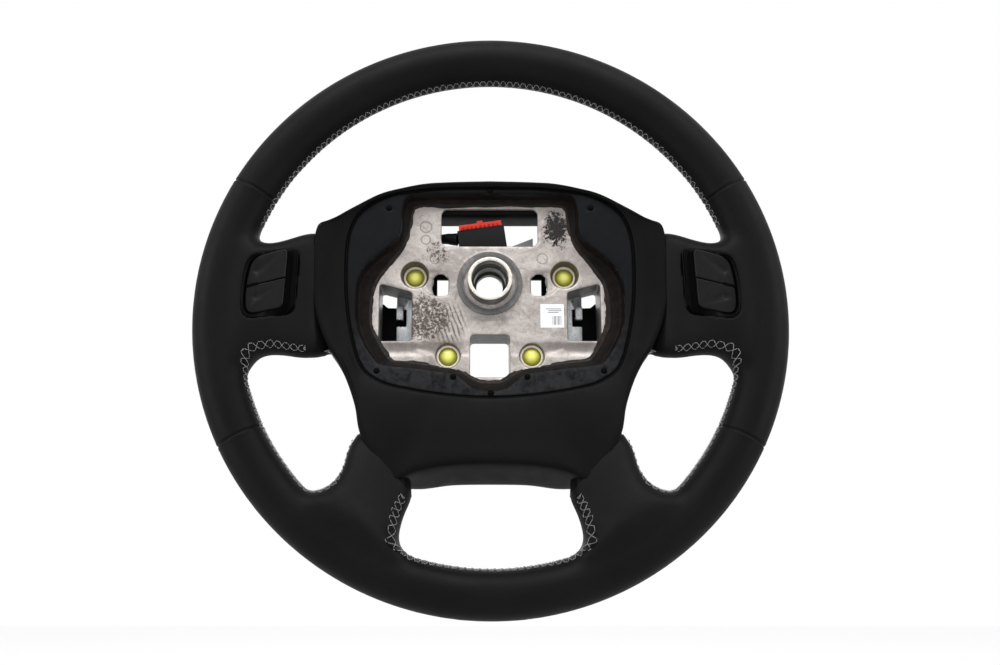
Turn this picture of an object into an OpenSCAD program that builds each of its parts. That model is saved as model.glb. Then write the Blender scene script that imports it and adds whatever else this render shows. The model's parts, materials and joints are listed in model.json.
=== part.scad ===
// Leather-covered car steering wheel, upright, with the driver's side facing -Y.
// The centre pad is off, so the cast frame, its guides and the switch lead show.
// The origin lies on the hub bore's axis, at the rear face of the steel hub sleeve.

/* [Rim] */
// Outside diameter of the covered rim
rim_d = 390; // [386:1:394]
// Thickness of the rim's round section
rim_t = 31.4; // [30.6:0.2:32.2]
// Height of the hub bore above the centre of the rim
hub_rise = 28; // [27:0.5:29]
// Distance from the hub sleeve's rear face forward to the middle of the rim
dish = 43; // [42:0.5:44]
// Thickness of the leather
leather_t = 1.2; // [1:0.1:1.5]
// Angle of the upper leather seams above the horizontal
seam_up = 28; // [26:0.5:30]
// Angle of the lower leather seams below the horizontal
seam_low = 27; // [25:0.5:29]
// Diameter of the tubular ring inside the rim
core_ring_d = 13; // [11:0.5:15]

/* [Stitching] */
// Diameter of the sewing thread
thread_d = 0.8; // [0.6:0.1:1]
// Length of one stitch along the edge
stitch_pitch = 6.6; // [6:0.2:7.4]
// Angle on the section at which the inner row of holes lies
stitch_in = 12; // [8:1:16]
// Angle on the section at which the outer row of holes lies
stitch_out = 36; // [32:1:40]

/* [Spokes] */
// Distance from the hub's axis to the side trim line of the leather
trim_x = 119; // [118:0.5:120]
// How far the spokes' roots reach in under the hub shroud
root_in = 11; // [10:0.5:12]
// Half thickness of the side spokes at the trim line
side_half_t = 11.2; // [10.8:0.1:11.4]
// Half thickness of the lower spokes at the trim line
low_half_t = 11; // [10.6:0.1:11.4]
// Width of the cast arms inside the side spokes
arm_w = 12.5; // [11:0.5:13.5]
// Thickness of the cast arms
arm_t = 9; // [8:0.5:10]

/* [Cast frame] */
// Distance of the frame's front face in front of the sleeve's rear face
face_y = 16; // [15.5:0.1:16.5]
// Thickness of the frame's plate
plate_t = 4; // [3.6:0.1:4.4]
// Width by which the plate reaches in under the shroud's foam
plate_lap = 2.5; // [2:0.1:3]
// Radius of the machined hub boss
boss_r = 22.4; // [21.9:0.1:22.9]
// Height of the machined boss above the plate
boss_up = 2; // [1.6:0.1:2.4]
// Wall thickness round the windows
wall_t = 3; // [2.6:0.1:3.2]
// Distance from the sleeve's rear face back to the end of the window walls
wall_back = 14; // [13:0.5:15]
// Half width of the top window
top_win_w = 33.4; // [32.5:0.1:34]
// Lower edge of the top window
top_win_low = 27.3; // [26.9:0.1:27.7]
// Upper edge of the top window
top_win_up = 54.2; // [53.6:0.1:54.4]
// Half width of the bottom window
low_win_w = 13.5; // [13:0.1:14]
// Upper edge of the bottom window
low_win_up = -36; // [-36.5:0.1:-35.6]
// Lower edge of the bottom window
low_win_low = -65.2; // [-65.6:0.1:-65]

/* [Hub sleeve] */
// Length of the steel hub sleeve
sleeve_l = 30; // [29:0.2:31]
// Outside diameter of the hub sleeve
sleeve_d = 30.2; // [29.6:0.1:30.6]
// Diameter of the nut recess at the front of the sleeve
nut_d = 25.2; // [24.6:0.1:25.6]
// Depth of the nut recess
nut_depth = 11.5; // [11:0.1:12]
// Diameter of the seat ring behind the nut recess
seat_d = 21.6; // [21:0.1:22]
// Diameter of the shaft bore
shaft_d = 18.6; // [18:0.1:19]
// Length of the shaft bore's land
shaft_l = 6; // [5:0.1:7]

/* [Pad guides] */
// Distance of the upper guides from the wheel's middle line
up_guide_x = 51.8; // [51.4:0.1:52.2]
// Height of the upper guides above the hub's axis
up_guide_z = 6.5; // [6:0.1:7]
// Diameter of the upper guide bores
up_guide_d = 19; // [18.6:0.1:19.4]
// Depth of the upper guide bores
up_guide_depth = 7.7; // [7.2:0.1:8.2]
// Distance of the lower guides from the wheel's middle line
low_guide_x = 28.5; // [28:0.1:29]
// Height of the lower guides above the hub's axis
low_guide_z = -50.5; // [-51:0.1:-50]
// Diameter of the lower guide bores
low_guide_d = 16.8; // [16.5:0.1:17.2]
// Depth of the lower guide bores
low_guide_depth = 4; // [3.6:0.1:4.4]
// Outside diameter of the guide sleeves
guide_d = 16.2; // [15.9:0.1:16.5]
// Diameter of the plugs in the guide sleeves
plug_d = 12.9; // [12.5:0.1:13.2]
// Length of the guide sleeves
guide_l = 10; // [9:0.5:11]
// Wall of the casting round the guide sleeves
guide_wall = 3; // [2.6:0.1:3.4]

/* [Switches] */
// Distance of the buttons' faces in front of the sleeve's rear face
pad_y = 55; // [54.6:0.1:55.4]
// Distance of the bezel's lip in front of the sleeve's rear face
bezel_y = 48.5; // [48.2:0.1:48.8]
// Thickness of the bezel
bezel_t = 3; // [2.7:0.1:3.3]
// Depth of the switch housing behind the bezel
housing_t = 11.5; // [11:0.1:12]
// Running clearance round the buttons
button_gap = 0.35; // [0.3:0.05:0.45]
// Travel of the buttons
button_travel = 1.2; // [1:0.1:1.3]
// Wall of the buttons
button_wall = 1.4; // [1.2:0.1:1.6]
// Thickness of the switch board
board_t = 1.6; // [1.4:0.1:1.8]

/* [Lead] */
// Diameter of the switch lead
lead_d = 3.2; // [2.8:0.2:3.6]
// Width of the connector
plug_w = 33; // [32:0.5:34]
// Height of the connector
plug_h = 19; // [18:0.5:20]
// Thickness of the connector
plug_t = 11; // [10:0.5:12]
// Tilt of the connector
plug_tilt = 8; // [6:0.5:10]

/* [Hidden] */

// Radius of the rim's section and of the circle through its middle
tube_r = rim_t / 2;
ring_r = rim_d / 2 - tube_r;
rim_in_r = ring_r - tube_r;
// Clearance of the foam inside the leather
foam_gap = 0.05;
foam_in = leather_t + foam_gap;
// Overrun of a cut past the face it opens
over = 1;

// Points on a smooth curve through the keys, with n steps between two keys
function knot(a, b, c, d, t) =
    0.5 * (2 * b + (c - a) * t + (2 * a - 5 * b + 4 * c - d) * t * t
    + (3 * b - a - 3 * c + d) * t * t * t);
function smooth(keys, n) = let (last = len(keys) - 1) concat(
    [for (i = [0:last - 1]) for (k = [0:n - 1])
        knot(keys[max(i - 1, 0)], keys[i], keys[i + 1], keys[min(i + 2, last)], k / n)],
    [keys[last]]);
// A closed ring from the right half of an outline, which starts and ends on the middle line
function flip_x(p) = concat([-p[0]], [for (i = [1:len(p) - 1]) p[i]]);
function whole(half) = concat(half, [for (i = [len(half) - 2:-1:1]) flip_x(half[i])]);
// The keys of a half outline moved outwards by d along their normals
function grown(keys, d) = let (last = len(keys) - 1) [for (i = [0:last])
    let (a = keys[max(i - 1, 0)], b = keys[min(i + 1, last)],
        t = (i == 0 || i == last) ? [i == 0 ? 1 : -1, 0] : (b - a) / norm(b - a))
    keys[i] + d * [-t[1], t[0]]];
function mixed(a, b, t) = [for (i = [0:len(a) - 1]) a[i] * (1 - t) + b[i] * t];

// Faces of a tube of rings, each with m points, with or without its ends
function side_faces(rings, m, closed) = [for (r = [0:rings - (closed ? 1 : 2)]) for (k = [0:m - 1])
    let (a = r * m, b = ((r + 1) % rings) * m, n = (k + 1) % m)
    each [[a + k, a + n, b + n], [a + k, b + n, b + k]]];
module skin(ring_points, closed = false) {
    m = len(ring_points[0]);
    r = len(ring_points);
    ends = closed ? [] : [[for (k = [m - 1:-1:0]) k], [for (k = [0:m - 1]) (r - 1) * m + k]];
    polyhedron(points = [for (ring = ring_points) each ring],
        faces = concat(side_faces(r, m, closed), ends), convexity = 6);
}

// Half outlines of the hub, from the top of the middle line round to its bottom, as x and z
plate_keys = [[0, 57.2], [28, 57.2], [46, 57.2], [53, 54.2], [55, 44], [57, 34], [62, 25], [71, 13],
    [78, 3], [81, -6], [82, -18], [81.5, -30], [77, -40], [71, -50], [66, -54.5], [52, -56],
    [37, -58.5], [25, -60], [18, -63], [9, -68.7], [0, -70]];
ledge_keys = [[0, 61], [28, 61], [50, 60.5], [58, 57.5], [60.3, 47], [60.5, 36], [64, 28],
    [75, 18.5], [85.5, 8], [90, -3], [90.5, -18], [89.5, -31], [85, -43], [78, -54], [72, -59],
    [54, -61], [40, -63], [28, -64.5], [21, -67], [11, -75], [0, -77]];
inner_keys = concat([[0, 50.4], [28, 50.4], [44, 50.4], [50, 49.4], [52.5, 43], [55, 33], [60.5, 25]],
    [for (i = [7:20]) plate_keys[i]]);
bead_keys = [[0, 65], [30, 64.7], [50, 63], [68, 60], [80, 55], [89, 47.5], [94, 39], [97, 28],
    [98, 14], [97.8, 0], [97, -14], [95, -29], [92, -43], [88, -56], [82, -65], [70, -72],
    [57, -75.3], [42, -78], [28, -79.8], [14, -81], [0, -81.5]];
// The outer edge adds its distance forward, and the rear edge its distance forward too
outer_keys = [[0, 71, 29], [30, 70, 29], [49, 68, 29.5], [76, 59, 31], [96, 47.5, 33.5],
    [109, 40.3, 36.5], [trim_x - 2, 35, 38.3], [trim_x, 18, 38.8], [trim_x, 0, 38.8],
    [trim_x - 0.5, -17, 38.8], [trim_x - 5, -34, 38.8], [107, -49, 38.6], [101, -58, 38],
    [95, -71, 37.5], [90.5, -88, 38.5], [88, -107, 40.6], [77, -124, 41.2], [64, -137, 41.2],
    [48, -130.5, 41], [25, -126.5, 40.5], [0, -125.5, 40.5]];
rear_keys = [[0, 70, 0], [30, 69, 0], [49, 67, 1], [75, 58, 4], [94, 47, 10],
    [107, 40, 14], [trim_x - 3.5, 34.5, 15], [trim_x - 1.5, 18, 15], [trim_x - 1.5, 0, 15],
    [trim_x - 2, -17, 15], [trim_x - 6, -34, 15], [108, -49, 14], [101.5, -59, 13],
    [95.5, -71, 12], [91, -88, 13], [88, -106, 14.5], [77, -124, 15], [64, -138, 14],
    [47, -141, 9], [25, -138.4, 8], [0, -138, 8]];
back_keys = [[0, 66], [30, 65.5], [49, 63.5], [70, 56], [84, 46], [92, 37], [96, 28], [98, 16],
    [98, 2], [97, -14], [95, -28], [91, -42], [87, -54], [84, -64], [80, -74], [74, -86],
    [66, -97], [56, -106], [42, -112], [24, -114], [0, -114.5]];
half_steps = 2;

plate_back = face_y - plate_t;
// Heights of the shroud's rings in front of the sleeve's rear face
flash_y = face_y + 1.2;
ledge_y = 28;
bead_y = 31;
shroud_back = 12;

function flat_ring(keys, y) = [for (p = whole(smooth(keys, half_steps))) [p[0], -y, p[1]]];
function edge_ring(keys, dy) = [for (p = whole(smooth(keys, half_steps))) [p[0], -p[2] + dy, p[1]]];
function with_y(keys, y) = [for (p = keys) [p[0], p[1], y]];
function shrunk(keys, d) = let (g = grown([for (p = keys) [p[0], p[1]]], -d))
    [for (i = [0:len(keys) - 1]) [g[i][0], g[i][1], keys[i][2]]];
plate_edge = grown(plate_keys, plate_lap);
bead_top = with_y(grown(bead_keys, 2.4), bead_y);

// The flap of foam behind each side window, and its root on the shroud's rear edge
flap = [[88, -52], [51, -51], [51, -11.6], [72.5, -11], [76, -7.5], [88, -7.5]];
flap_root = [[86, -52], [88, -52], [92, -40], [94, -13], [94, -7.5], [86, -7.5]];
flap_gap = 0.3;
flap_back = -wall_back - 4;

function reversed(list) = [for (i = [len(list) - 1:-1:0]) list[i]];
module shroud_body() {
    skin(reversed([
        flat_ring(plate_edge, face_y),
        flat_ring(plate_keys, face_y),
        flat_ring(plate_keys, flash_y),
        flat_ring(grown(ledge_keys, -0.8), flash_y + 0.6),
        flat_ring(ledge_keys, ledge_y - 0.8),
        flat_ring(grown(ledge_keys, 0.8), ledge_y),
        flat_ring(grown(bead_keys, -1.4), ledge_y + 0.4),
        flat_ring(bead_keys, ledge_y - 0.4),
        flat_ring(grown(bead_keys, 1), bead_y - 0.9),
        edge_ring(bead_top, 0),
        edge_ring(mixed(bead_top, outer_keys, 0.3), 0.4),
        edge_ring(mixed(bead_top, outer_keys, 0.7), 0.2),
        edge_ring(shrunk(outer_keys, 1.6), 0),
        edge_ring(outer_keys, 1.4),
        edge_ring(mixed(outer_keys, rear_keys, 0.45), 0),
        edge_ring(rear_keys, 0),
        edge_ring(shrunk(rear_keys, 3), 3),
        edge_ring(with_y(back_keys, -shroud_back + 5), 0),
        edge_ring(with_y(shrunk(with_y(back_keys, 0), 3), -shroud_back), 0),
        flat_ring(inner_keys, -shroud_back),
        flat_ring(inner_keys, plate_back),
        flat_ring(plate_edge, plate_back)]), closed = true);
    both_sides() {
        prism(flap, -wall_back - flap_gap, flap_back);
        prism(flap_root, -shroud_back + 4, flap_back);
    }
}

// Stations of a spoke, each with the opening edge points a and b, half thickness and depth.
// The foam starts at the first station and the leather at the second, both under the shroud
function station(xa, za, xb, zb, h, y) = [xa, za, xb, zb, h, y];
side_stations = [
    station(trim_x - root_in, 33, trim_x - root_in, -52, side_half_t - 2.4, 21.4),
    station(trim_x - 6, 33.5, trim_x - 6, -54, side_half_t - 1.2, 24),
    station(trim_x, 33.2, trim_x, -55.5, side_half_t, 27.3),
    station(126, 31, 126, -55.6, side_half_t + 0.4, 30.6),
    station(134, 26.5, 134, -55.5, side_half_t + 1.2, dish - 8),
    station(142, 22.5, 142, -55.3, side_half_t + 2.2, dish - 4.2),
    station(rim_in_r - 14.5, 20.4, rim_in_r - 14.5, -56.8, side_half_t + 3, dish - 1.6),
    station(rim_in_r - 9.5, 21.6, rim_in_r - 9.5, -61, side_half_t + 3.7, dish - 0.4),
    station(rim_in_r - 5.5, 27, rim_in_r - 5.5, -68, side_half_t + 4, dish),
    station(rim_in_r + 0.5, 28, rim_in_r + 0.5, -70, side_half_t + 3.3, dish),
    station(ring_r - 3.5, 24, ring_r - 3.5, -66, side_half_t + 0.8, dish)];
low_stations = [
    station(80, -97, 52, -127, low_half_t - 2, 25.5),
    station(84, -101.6, 50.8, -136.6, low_half_t - 1, 27.4),
    station(88, -106, 50, -147, low_half_t, 29.3),
    station(92.7, -116.6, 54, -156.3, low_half_t + 0.8, 33),
    station(94.3, -127, 56.7, -165.7, low_half_t + 1.8, dish - 6.5),
    station(98.6, -135.6, 57.8, -174, low_half_t + 2.8, dish - 3),
    station(106, -142, 56, -179, low_half_t + 3.7, dish - 0.8),
    station(117, -145, 50, -185, low_half_t + 4.2, dish),
    station(124, -149, 50, -193, low_half_t + 3.5, dish),
    station(122, -162, 62, -198, low_half_t + 1, dish)];
nose_steps = 8;
crown = 1;

// The stadium-shaped section of one station, made smaller by g all round
function station_ring(s, g) = let (a = [s[0], s[1]], b = [s[2], s[3]], u = (b - a) / norm(b - a),
        h = s[4] - g, ca = a + u * s[4], cb = b - u * s[4], mid = (a + b) / 2)
    concat(
        [for (k = [0:nose_steps]) let (w = 90 + 180 * k / nose_steps)
            [ca[0] + u[0] * h * cos(w), -s[5] - h * sin(w), ca[1] + u[1] * h * cos(w)]],
        [[mid[0], -s[5] + h + crown, mid[1]]],
        [for (k = [0:nose_steps]) let (w = -90 + 180 * k / nose_steps)
            [cb[0] + u[0] * h * cos(w), -s[5] - h * sin(w), cb[1] + u[1] * h * cos(w)]],
        [[mid[0], -s[5] - h - crown, mid[1]]]);
module spoke(stations, g, from = 0) {
    last = len(stations) - 1;
    skin([for (i = [from:last]) station_ring(stations[i], g)]);
}

module at_rim() {
    translate([0, -dish, -hub_rise]) rotate([90, 0, 0]) children();
}
module rim_arc(r, from, sweep) {
    at_rim() rotate([0, 0, from]) rotate_extrude(angle = sweep, $fn = 96)
        translate([ring_r, 0]) circle(r = r, $fn = 32);
}
module rim_ring(r) {
    at_rim() rotate_extrude($fn = 96) translate([ring_r, 0]) circle(r = r, $fn = 32);
}
module both_sides() {
    children();
    mirror([1, 0, 0]) children();
}

// The cast frame
arm_z = -44;
arm_root_y = face_y - arm_t / 2 - 0.6;
arm_path = [[70, arm_root_y], [84, arm_root_y], [112, 24], [150, dish - 1.5], [ring_r, dish]];
low_arm_from = [44, -48];
low_arm_to = [86, -182];
low_arm_len = norm(low_arm_to - low_arm_from);
low_arm_turn = atan2(low_arm_to[1] - low_arm_from[1], low_arm_to[0] - low_arm_from[0]);
low_arm_path = [[0, arm_root_y], [14, arm_root_y], [66, 25.5], [104, dish - 6], [low_arm_len, dish]];
module arm(path, width) {
    half = arm_t / 2;
    linear_extrude(height = width, center = true) polygon(concat(
        [for (p = path) [p[0], -p[1] - half]],
        [for (i = [len(path) - 1:-1:0]) [path[i][0], -path[i][1] + half]]));
}
// Each arm ends in a collar that is cast round the rim's core
collar_t = 3;
collar_w = 5;
side_arm_turn = asin((arm_z + hub_rise) / ring_r);
low_arm_end = atan2(low_arm_to[1] + hub_rise, low_arm_to[0]);
module arms() {
    both_sides() {
        rim_arc(core_ring_d / 2 + collar_t, side_arm_turn - collar_w / 2, collar_w);
        rim_arc(core_ring_d / 2 + collar_t, low_arm_end - collar_w / 2, collar_w);
        translate([0, 0, arm_z]) arm(arm_path, arm_w);
        translate([low_arm_from[0], 0, low_arm_from[1]]) rotate([0, -low_arm_turn, 0])
            arm(low_arm_path, arm_w);
    }
}
// A prism with an outline in x and z, from depth y_front to depth y_back
module prism(points, y_front, y_back) {
    translate([0, -y_back, 0]) rotate([90, 0, 0])
        linear_extrude(height = y_front - y_back) polygon(points);
}
module round_bar(x, z, r, y_front, y_back) {
    translate([x, -y_back, z]) rotate([90, 0, 0]) cylinder(h = y_front - y_back, r = r, $fn = 64);
}
// A rectangle with its corners cut by c
function box_points(x1, x2, z1, z2, c) = [[x1 + c, z1], [x2 - c, z1], [x2, z1 + c], [x2, z2 - c],
    [x2 - c, z2], [x1 + c, z2], [x1, z2 - c], [x1, z1 + c]];

side_win = [[53.5, -40], [75.8, -40], [75.8, 0.2], [53.5, -5.8]];
function side_wall_points() = [side_win[0] + [-wall_t, -wall_t], side_win[1] + [wall_t, -wall_t],
    side_win[2] + [wall_t, wall_t], side_win[3] + [-wall_t, wall_t]];
slot_x = 34;
slot_z = -0.5;
slot_r = 5.4;
slot_half = 2.3;
slot_cut = 3.4;
guide_back = face_y - up_guide_depth - guide_l;
up_wall = guide_wall + 1.6;
low_wall = guide_wall - 0.6;
// Ribs behind the plate, between the hub, the guides and the windows
rib_back = 4;
guide_rib = [[20, -1.5], [52, -4.5], [52, -7.5], [20, -4.5]];
window_rib = [[13, 14], [44, 9], [45, 12], [15, 18]];
low_rib = [[12, -16], [16, -13], [24, -44], [20, -46]];
// A shallow recess leads from each slot to its upper guide
recess_depth = 1.8;
recess = [[slot_x - 4.5, -7], [slot_x, -8.4], [slot_x + 5.5, -8.2], [slot_x + 9, -6.4],
    [up_guide_x - 6.5, up_guide_z - 10.8], [up_guide_x - 4, up_guide_z - 7.5],
    [up_guide_x - 4, up_guide_z + 2.5], [up_guide_x - 8, up_guide_z + 3.1], [slot_x - 2.5, 9.4],
    [slot_x - 5.2, 7.6], [slot_x - 6.2, 4], [slot_x - 6, -4]];
top_win_corner = 2.6;
low_win_corner = 1.4;
function slot_points() = let (low = slot_z - slot_half - slot_r, high = slot_z + slot_half + slot_r,
        left = slot_x - slot_r, right = slot_x + slot_r)
    [[left, low], [right - slot_cut / 2, low], [right, low + slot_cut], [right, high - slot_cut],
    [right - slot_cut, high], [left + slot_cut, high], [left, high - slot_cut]];
// A groove crosses the plate at the lower guides
groove_r = 9;
groove_z = -46;
groove_depth = 1.6;
// The boss is narrower behind the plate, to clear the connector
boss_back_r = 18.5;
boss_back = 2;
flare_r = 18.7;
flare_depth = 6;

// The walls behind the plate, round the windows and the guides
module frame_walls() {
    prism(box_points(-low_win_w - wall_t, low_win_w + wall_t, low_win_low - wall_t,
        low_win_up + wall_t, 2), face_y - over, -wall_back);
    both_sides() {
        prism(side_wall_points(), face_y - over, -wall_back);
        round_bar(up_guide_x, up_guide_z, guide_d / 2 + up_wall, face_y - over, guide_back);
        round_bar(low_guide_x, low_guide_z, guide_d / 2 + low_wall, face_y - over,
            face_y - low_guide_depth - guide_l);
    }
}
module armature() color([0.74, 0.71, 0.69]) {
    difference() {
        union() {
            difference() {
                prism([for (p = whole(smooth(plate_edge, half_steps))) p], face_y, plate_back);
                translate([-100, -face_y - groove_r + groove_depth, groove_z]) rotate([0, 90, 0])
                    cylinder(h = 200, r = groove_r, $fn = 64);
            }
            frame_walls();
            round_bar(0, 0, boss_r, face_y + boss_up, plate_back);
            round_bar(0, 0, boss_back_r, plate_back + over, boss_back);
            translate([0, -face_y - boss_up, 0]) rotate([90, 0, 0])
                cylinder(h = flare_depth, r1 = flare_r, r2 = sleeve_d / 2 + 1, $fn = 64);
            both_sides() {
                prism(guide_rib, plate_back + over, rib_back);
                prism(window_rib, plate_back + over, rib_back);
                prism(low_rib, plate_back + over, rib_back);
            }
            arms();
        }
        rim_ring(core_ring_d / 2);
        round_bar(0, 0, sleeve_d / 2, face_y + boss_up + 20, -over);
        prism(box_points(-top_win_w, top_win_w, top_win_low, top_win_up, top_win_corner),
            face_y + over, plate_back - over);
        prism(box_points(-low_win_w, low_win_w, low_win_low, low_win_up, low_win_corner),
            face_y + over, -wall_back - over);
        both_sides() {
            prism(side_win, face_y + over, -wall_back - over);
            round_bar(up_guide_x, up_guide_z, up_guide_d / 2, face_y + over,
                face_y - up_guide_depth);
            round_bar(up_guide_x, up_guide_z, guide_d / 2, face_y, guide_back - over);
            round_bar(low_guide_x, low_guide_z, low_guide_d / 2, face_y + over,
                face_y - low_guide_depth);
            round_bar(low_guide_x, low_guide_z, guide_d / 2, face_y,
                face_y - low_guide_depth - guide_l - over);
            prism(slot_points(), face_y + over, -over);
            prism(recess, face_y + over, face_y - recess_depth);
        }
    }
}

module rim_core() color([0.55, 0.55, 0.56]) rim_ring(core_ring_d / 2);

module hub_sleeve() color([0.78, 0.76, 0.7]) {
    difference() {
        round_bar(0, 0, sleeve_d / 2, sleeve_l, 0);
        round_bar(0, 0, nut_d / 2, sleeve_l + over, sleeve_l - nut_depth);
        round_bar(0, 0, seat_d / 2, sleeve_l, shaft_l);
        round_bar(0, 0, shaft_d / 2, sleeve_l, -over);
    }
}

// Switch outlines on the right side, as x and z
pad_keys = [[131.4, 12.4], [156.2, 5.4], [159.6, -12], [158.4, -25.5], [155.2, -30.2],
    [137, -26.8], [132.8, -22]];
bezel_keys = [[127.5, 15], [157, 6.8], [160.7, -12], [159.5, -27], [156, -33.6],
    [135.6, -30.6], [128.6, -24.4]];
split_in = [120, -3.4];
split_out = [170, -15.6];
fence_l = 8.5;
fence_t = 0.9;
function cut_corners(keys, c) = [for (i = [0:len(keys) - 1])
    let (p = keys[i], a = keys[(i + len(keys) - 1) % len(keys)], b = keys[(i + 1) % len(keys)])
    each [p + (a - p) * c / norm(a - p), p + (a + b - 2 * p) * 0.27 * c / norm(a + b - 2 * p),
        p + (b - p) * c / norm(b - p)]];
function inset(keys, d) = [for (i = [0:len(keys) - 1])
    let (p = keys[i], a = keys[(i + len(keys) - 1) % len(keys)], b = keys[(i + 1) % len(keys)],
        u = (p - a) / norm(p - a), v = (b - p) / norm(b - p), nu = [-u[1], u[0]], nv = [-v[1], v[0]],
        w = nu + nv)
    p - w * d / (1 + nu * nv)];
bezel_shape = cut_corners(bezel_keys, 3.4);
bezel_back = bezel_y - bezel_t;
housing_back = bezel_back - housing_t;
pocket_gap = 0.3;
board_y = housing_back + 4;

module pocket() {
    prism(cut_corners(inset(bezel_keys, -pocket_gap), 3.4), dish + 40, housing_back - 0.3);
}
// The connector's own frame, and the point where a lead meets the side of its housing
plug_x = -5;
plug_z = 32.5;
plug_gap = 0.2;
plug_y = plate_back - plug_gap;
function plug_point(side, up) = let (x = side * (plug_w / 2 + 0.5))
    [plug_x + x * cos(plug_tilt) - up * sin(plug_tilt), -plug_y + plug_t / 2,
    plug_z + x * sin(plug_tilt) + up * cos(plug_tilt)];
// The routes of the switch leads, from the housings through the spokes to the connector
right_route = [[126.9, -38, -6], [120, -33, -4.5], [112, -27, -2], [102, -19.5, 1], [92, -12.5, 4.5],
    [82, -5.5, 8.4], [74, -0.5, 11], [66, 1.5, 14], [57, 2, 21.5], [42, 1, 24], [28, -3, 24.5],
    plug_point(1, -6.5)];
left_route = [[-126.9, -38, -6], [-120, -33, -4.5], [-112, -27, -2], [-102, -19.5, 1],
    [-92, -12.5, 4.5], [-82, -5.5, 8.4], [-74, -0.5, 11], [-66, 1.5, 14], [-58, 2, 23],
    [-46, 0, 33], [-34, -4, 36], plug_point(-1, 5)];
channel_from = [130, -41, -7];
channel_to = [66, 6.4, 13.5];
channel_r = 3.6;
module bar_between(p, q, r) {
    d = q - p;
    translate(p) rotate([0, acos(d[2] / norm(d)), atan2(d[1], d[0])])
        cylinder(h = norm(d), r = r, $fn = 32);
}
module channel() {
    bar_between(channel_from, channel_to, channel_r);
}

module rim_foam() color([0.2, 0.2, 0.2]) {
    difference() {
        union() {
            rim_ring(tube_r - foam_in);
            both_sides() {
                spoke(side_stations, foam_in);
                spoke(low_stations, foam_in);
            }
        }
        rim_ring(core_ring_d / 2);
        arms();
        both_sides() {
            pocket();
            channel();
        }
    }
}
// The leather starts at this station of each spoke
leather_from = 1;
module leather_top() color([0.1, 0.1, 0.1]) {
    difference() {
        rim_arc(tube_r, seam_up, 180 - 2 * seam_up);
        rim_ring(tube_r - leather_t);
    }
}
module leather_side() {
    difference() {
        union() {
            rim_arc(tube_r, -seam_low, seam_low + seam_up);
            spoke(side_stations, 0, leather_from);
        }
        rim_ring(tube_r - leather_t);
        spoke(side_stations, leather_t);
        pocket();
    }
}
module leather_right() color([0.1, 0.1, 0.1]) leather_side();
module leather_left() color([0.1, 0.1, 0.1]) mirror([1, 0, 0]) leather_side();
module leather_bottom() color([0.1, 0.1, 0.1]) {
    difference() {
        union() {
            rim_arc(tube_r, 180 + seam_low, 180 - 2 * seam_low);
            both_sides() spoke(low_stations, 0, leather_from);
        }
        rim_ring(tube_r - leather_t);
        both_sides() spoke(low_stations, leather_t);
    }
}
// Moulding pips on the ledge, on the right half
pips = [[75.4, -63.5], [24.6, -67.4], [69.4, 50.6]];
pip_r = 1.7;
module hub_shroud() color([0.16, 0.16, 0.16]) {
    difference() {
        shroud_body();
        arms();
        frame_walls();
        both_sides() {
            spoke(side_stations, 0);
            spoke(low_stations, 0);
            channel();
            for (p = pips) round_bar(p[0], p[1], pip_r, ledge_y + 2, ledge_y - 1);
        }
    }
}
// A seam of crossing thread on the rounded edges, sewn through two rows of holes.
// Each frame holds the edge's middle in x and z, its way out, its radius and its depth
function rim_frame(w) = [ring_r * cos(w), ring_r * sin(w) - hub_rise, -cos(w), -sin(w), tube_r, dish];
function spoke_frame(s, end) = let (a = [s[0], s[1]], b = [s[2], s[3]], u = (b - a) / norm(b - a),
        c = end == 0 ? a + u * s[4] : b - u * s[4], d = end == 0 ? -u : u)
    [c[0], c[1], d[0], d[1], s[4], s[5]];
function edge_point(f) = [f[0] + f[2] * f[4], f[1] + f[3] * f[4]];
function fine_frames(frames) = concat([for (i = [0:len(frames) - 2])
    let (a = frames[i], b = frames[i + 1], d = norm(edge_point(b) - edge_point(a)),
        n = max(1, round(d / (stitch_pitch / 4))))
    for (k = [0:n - 1]) mixed(a, b, k / n)], [frames[len(frames) - 1]]);
function row_angle(i) = let (m = i % 4)
    m == 0 ? stitch_in : m == 2 ? stitch_out : (stitch_in + stitch_out) / 2;
function outward(f, w) = let (n = norm([f[2], f[3]])) [f[2] / n * cos(w), -sin(w), f[3] / n * cos(w)];
thread_lift = thread_d / 2 + 0.15;
function thread_points(f) = [for (i = [0:len(f) - 1])
    [f[i][0], -f[i][5], f[i][1]] + outward(f[i], row_angle(i)) * (f[i][4] + thread_lift)];
module thread(frames) {
    f = fine_frames(frames);
    p = thread_points(f);
    last = len(p) - 1;
    r = thread_d / 2;
    skin([for (i = [0:last]) let (t = p[min(i + 1, last)] - p[max(i - 1, 0)],
        n = outward(f[i], row_angle(i)), c = cross(t / norm(t), n), b = c / norm(c))
        [p[i] + n * r, p[i] + b * r, p[i] - n * r, p[i] - b * r]]);
}
// An opening's corner is a fillet of radius r round the point c
function fillet_frame(c, r, w, h) =
    [c[0] + (r + h) * cos(w), c[1] + (r + h) * sin(w), -cos(w), -sin(w), h, dish];
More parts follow.
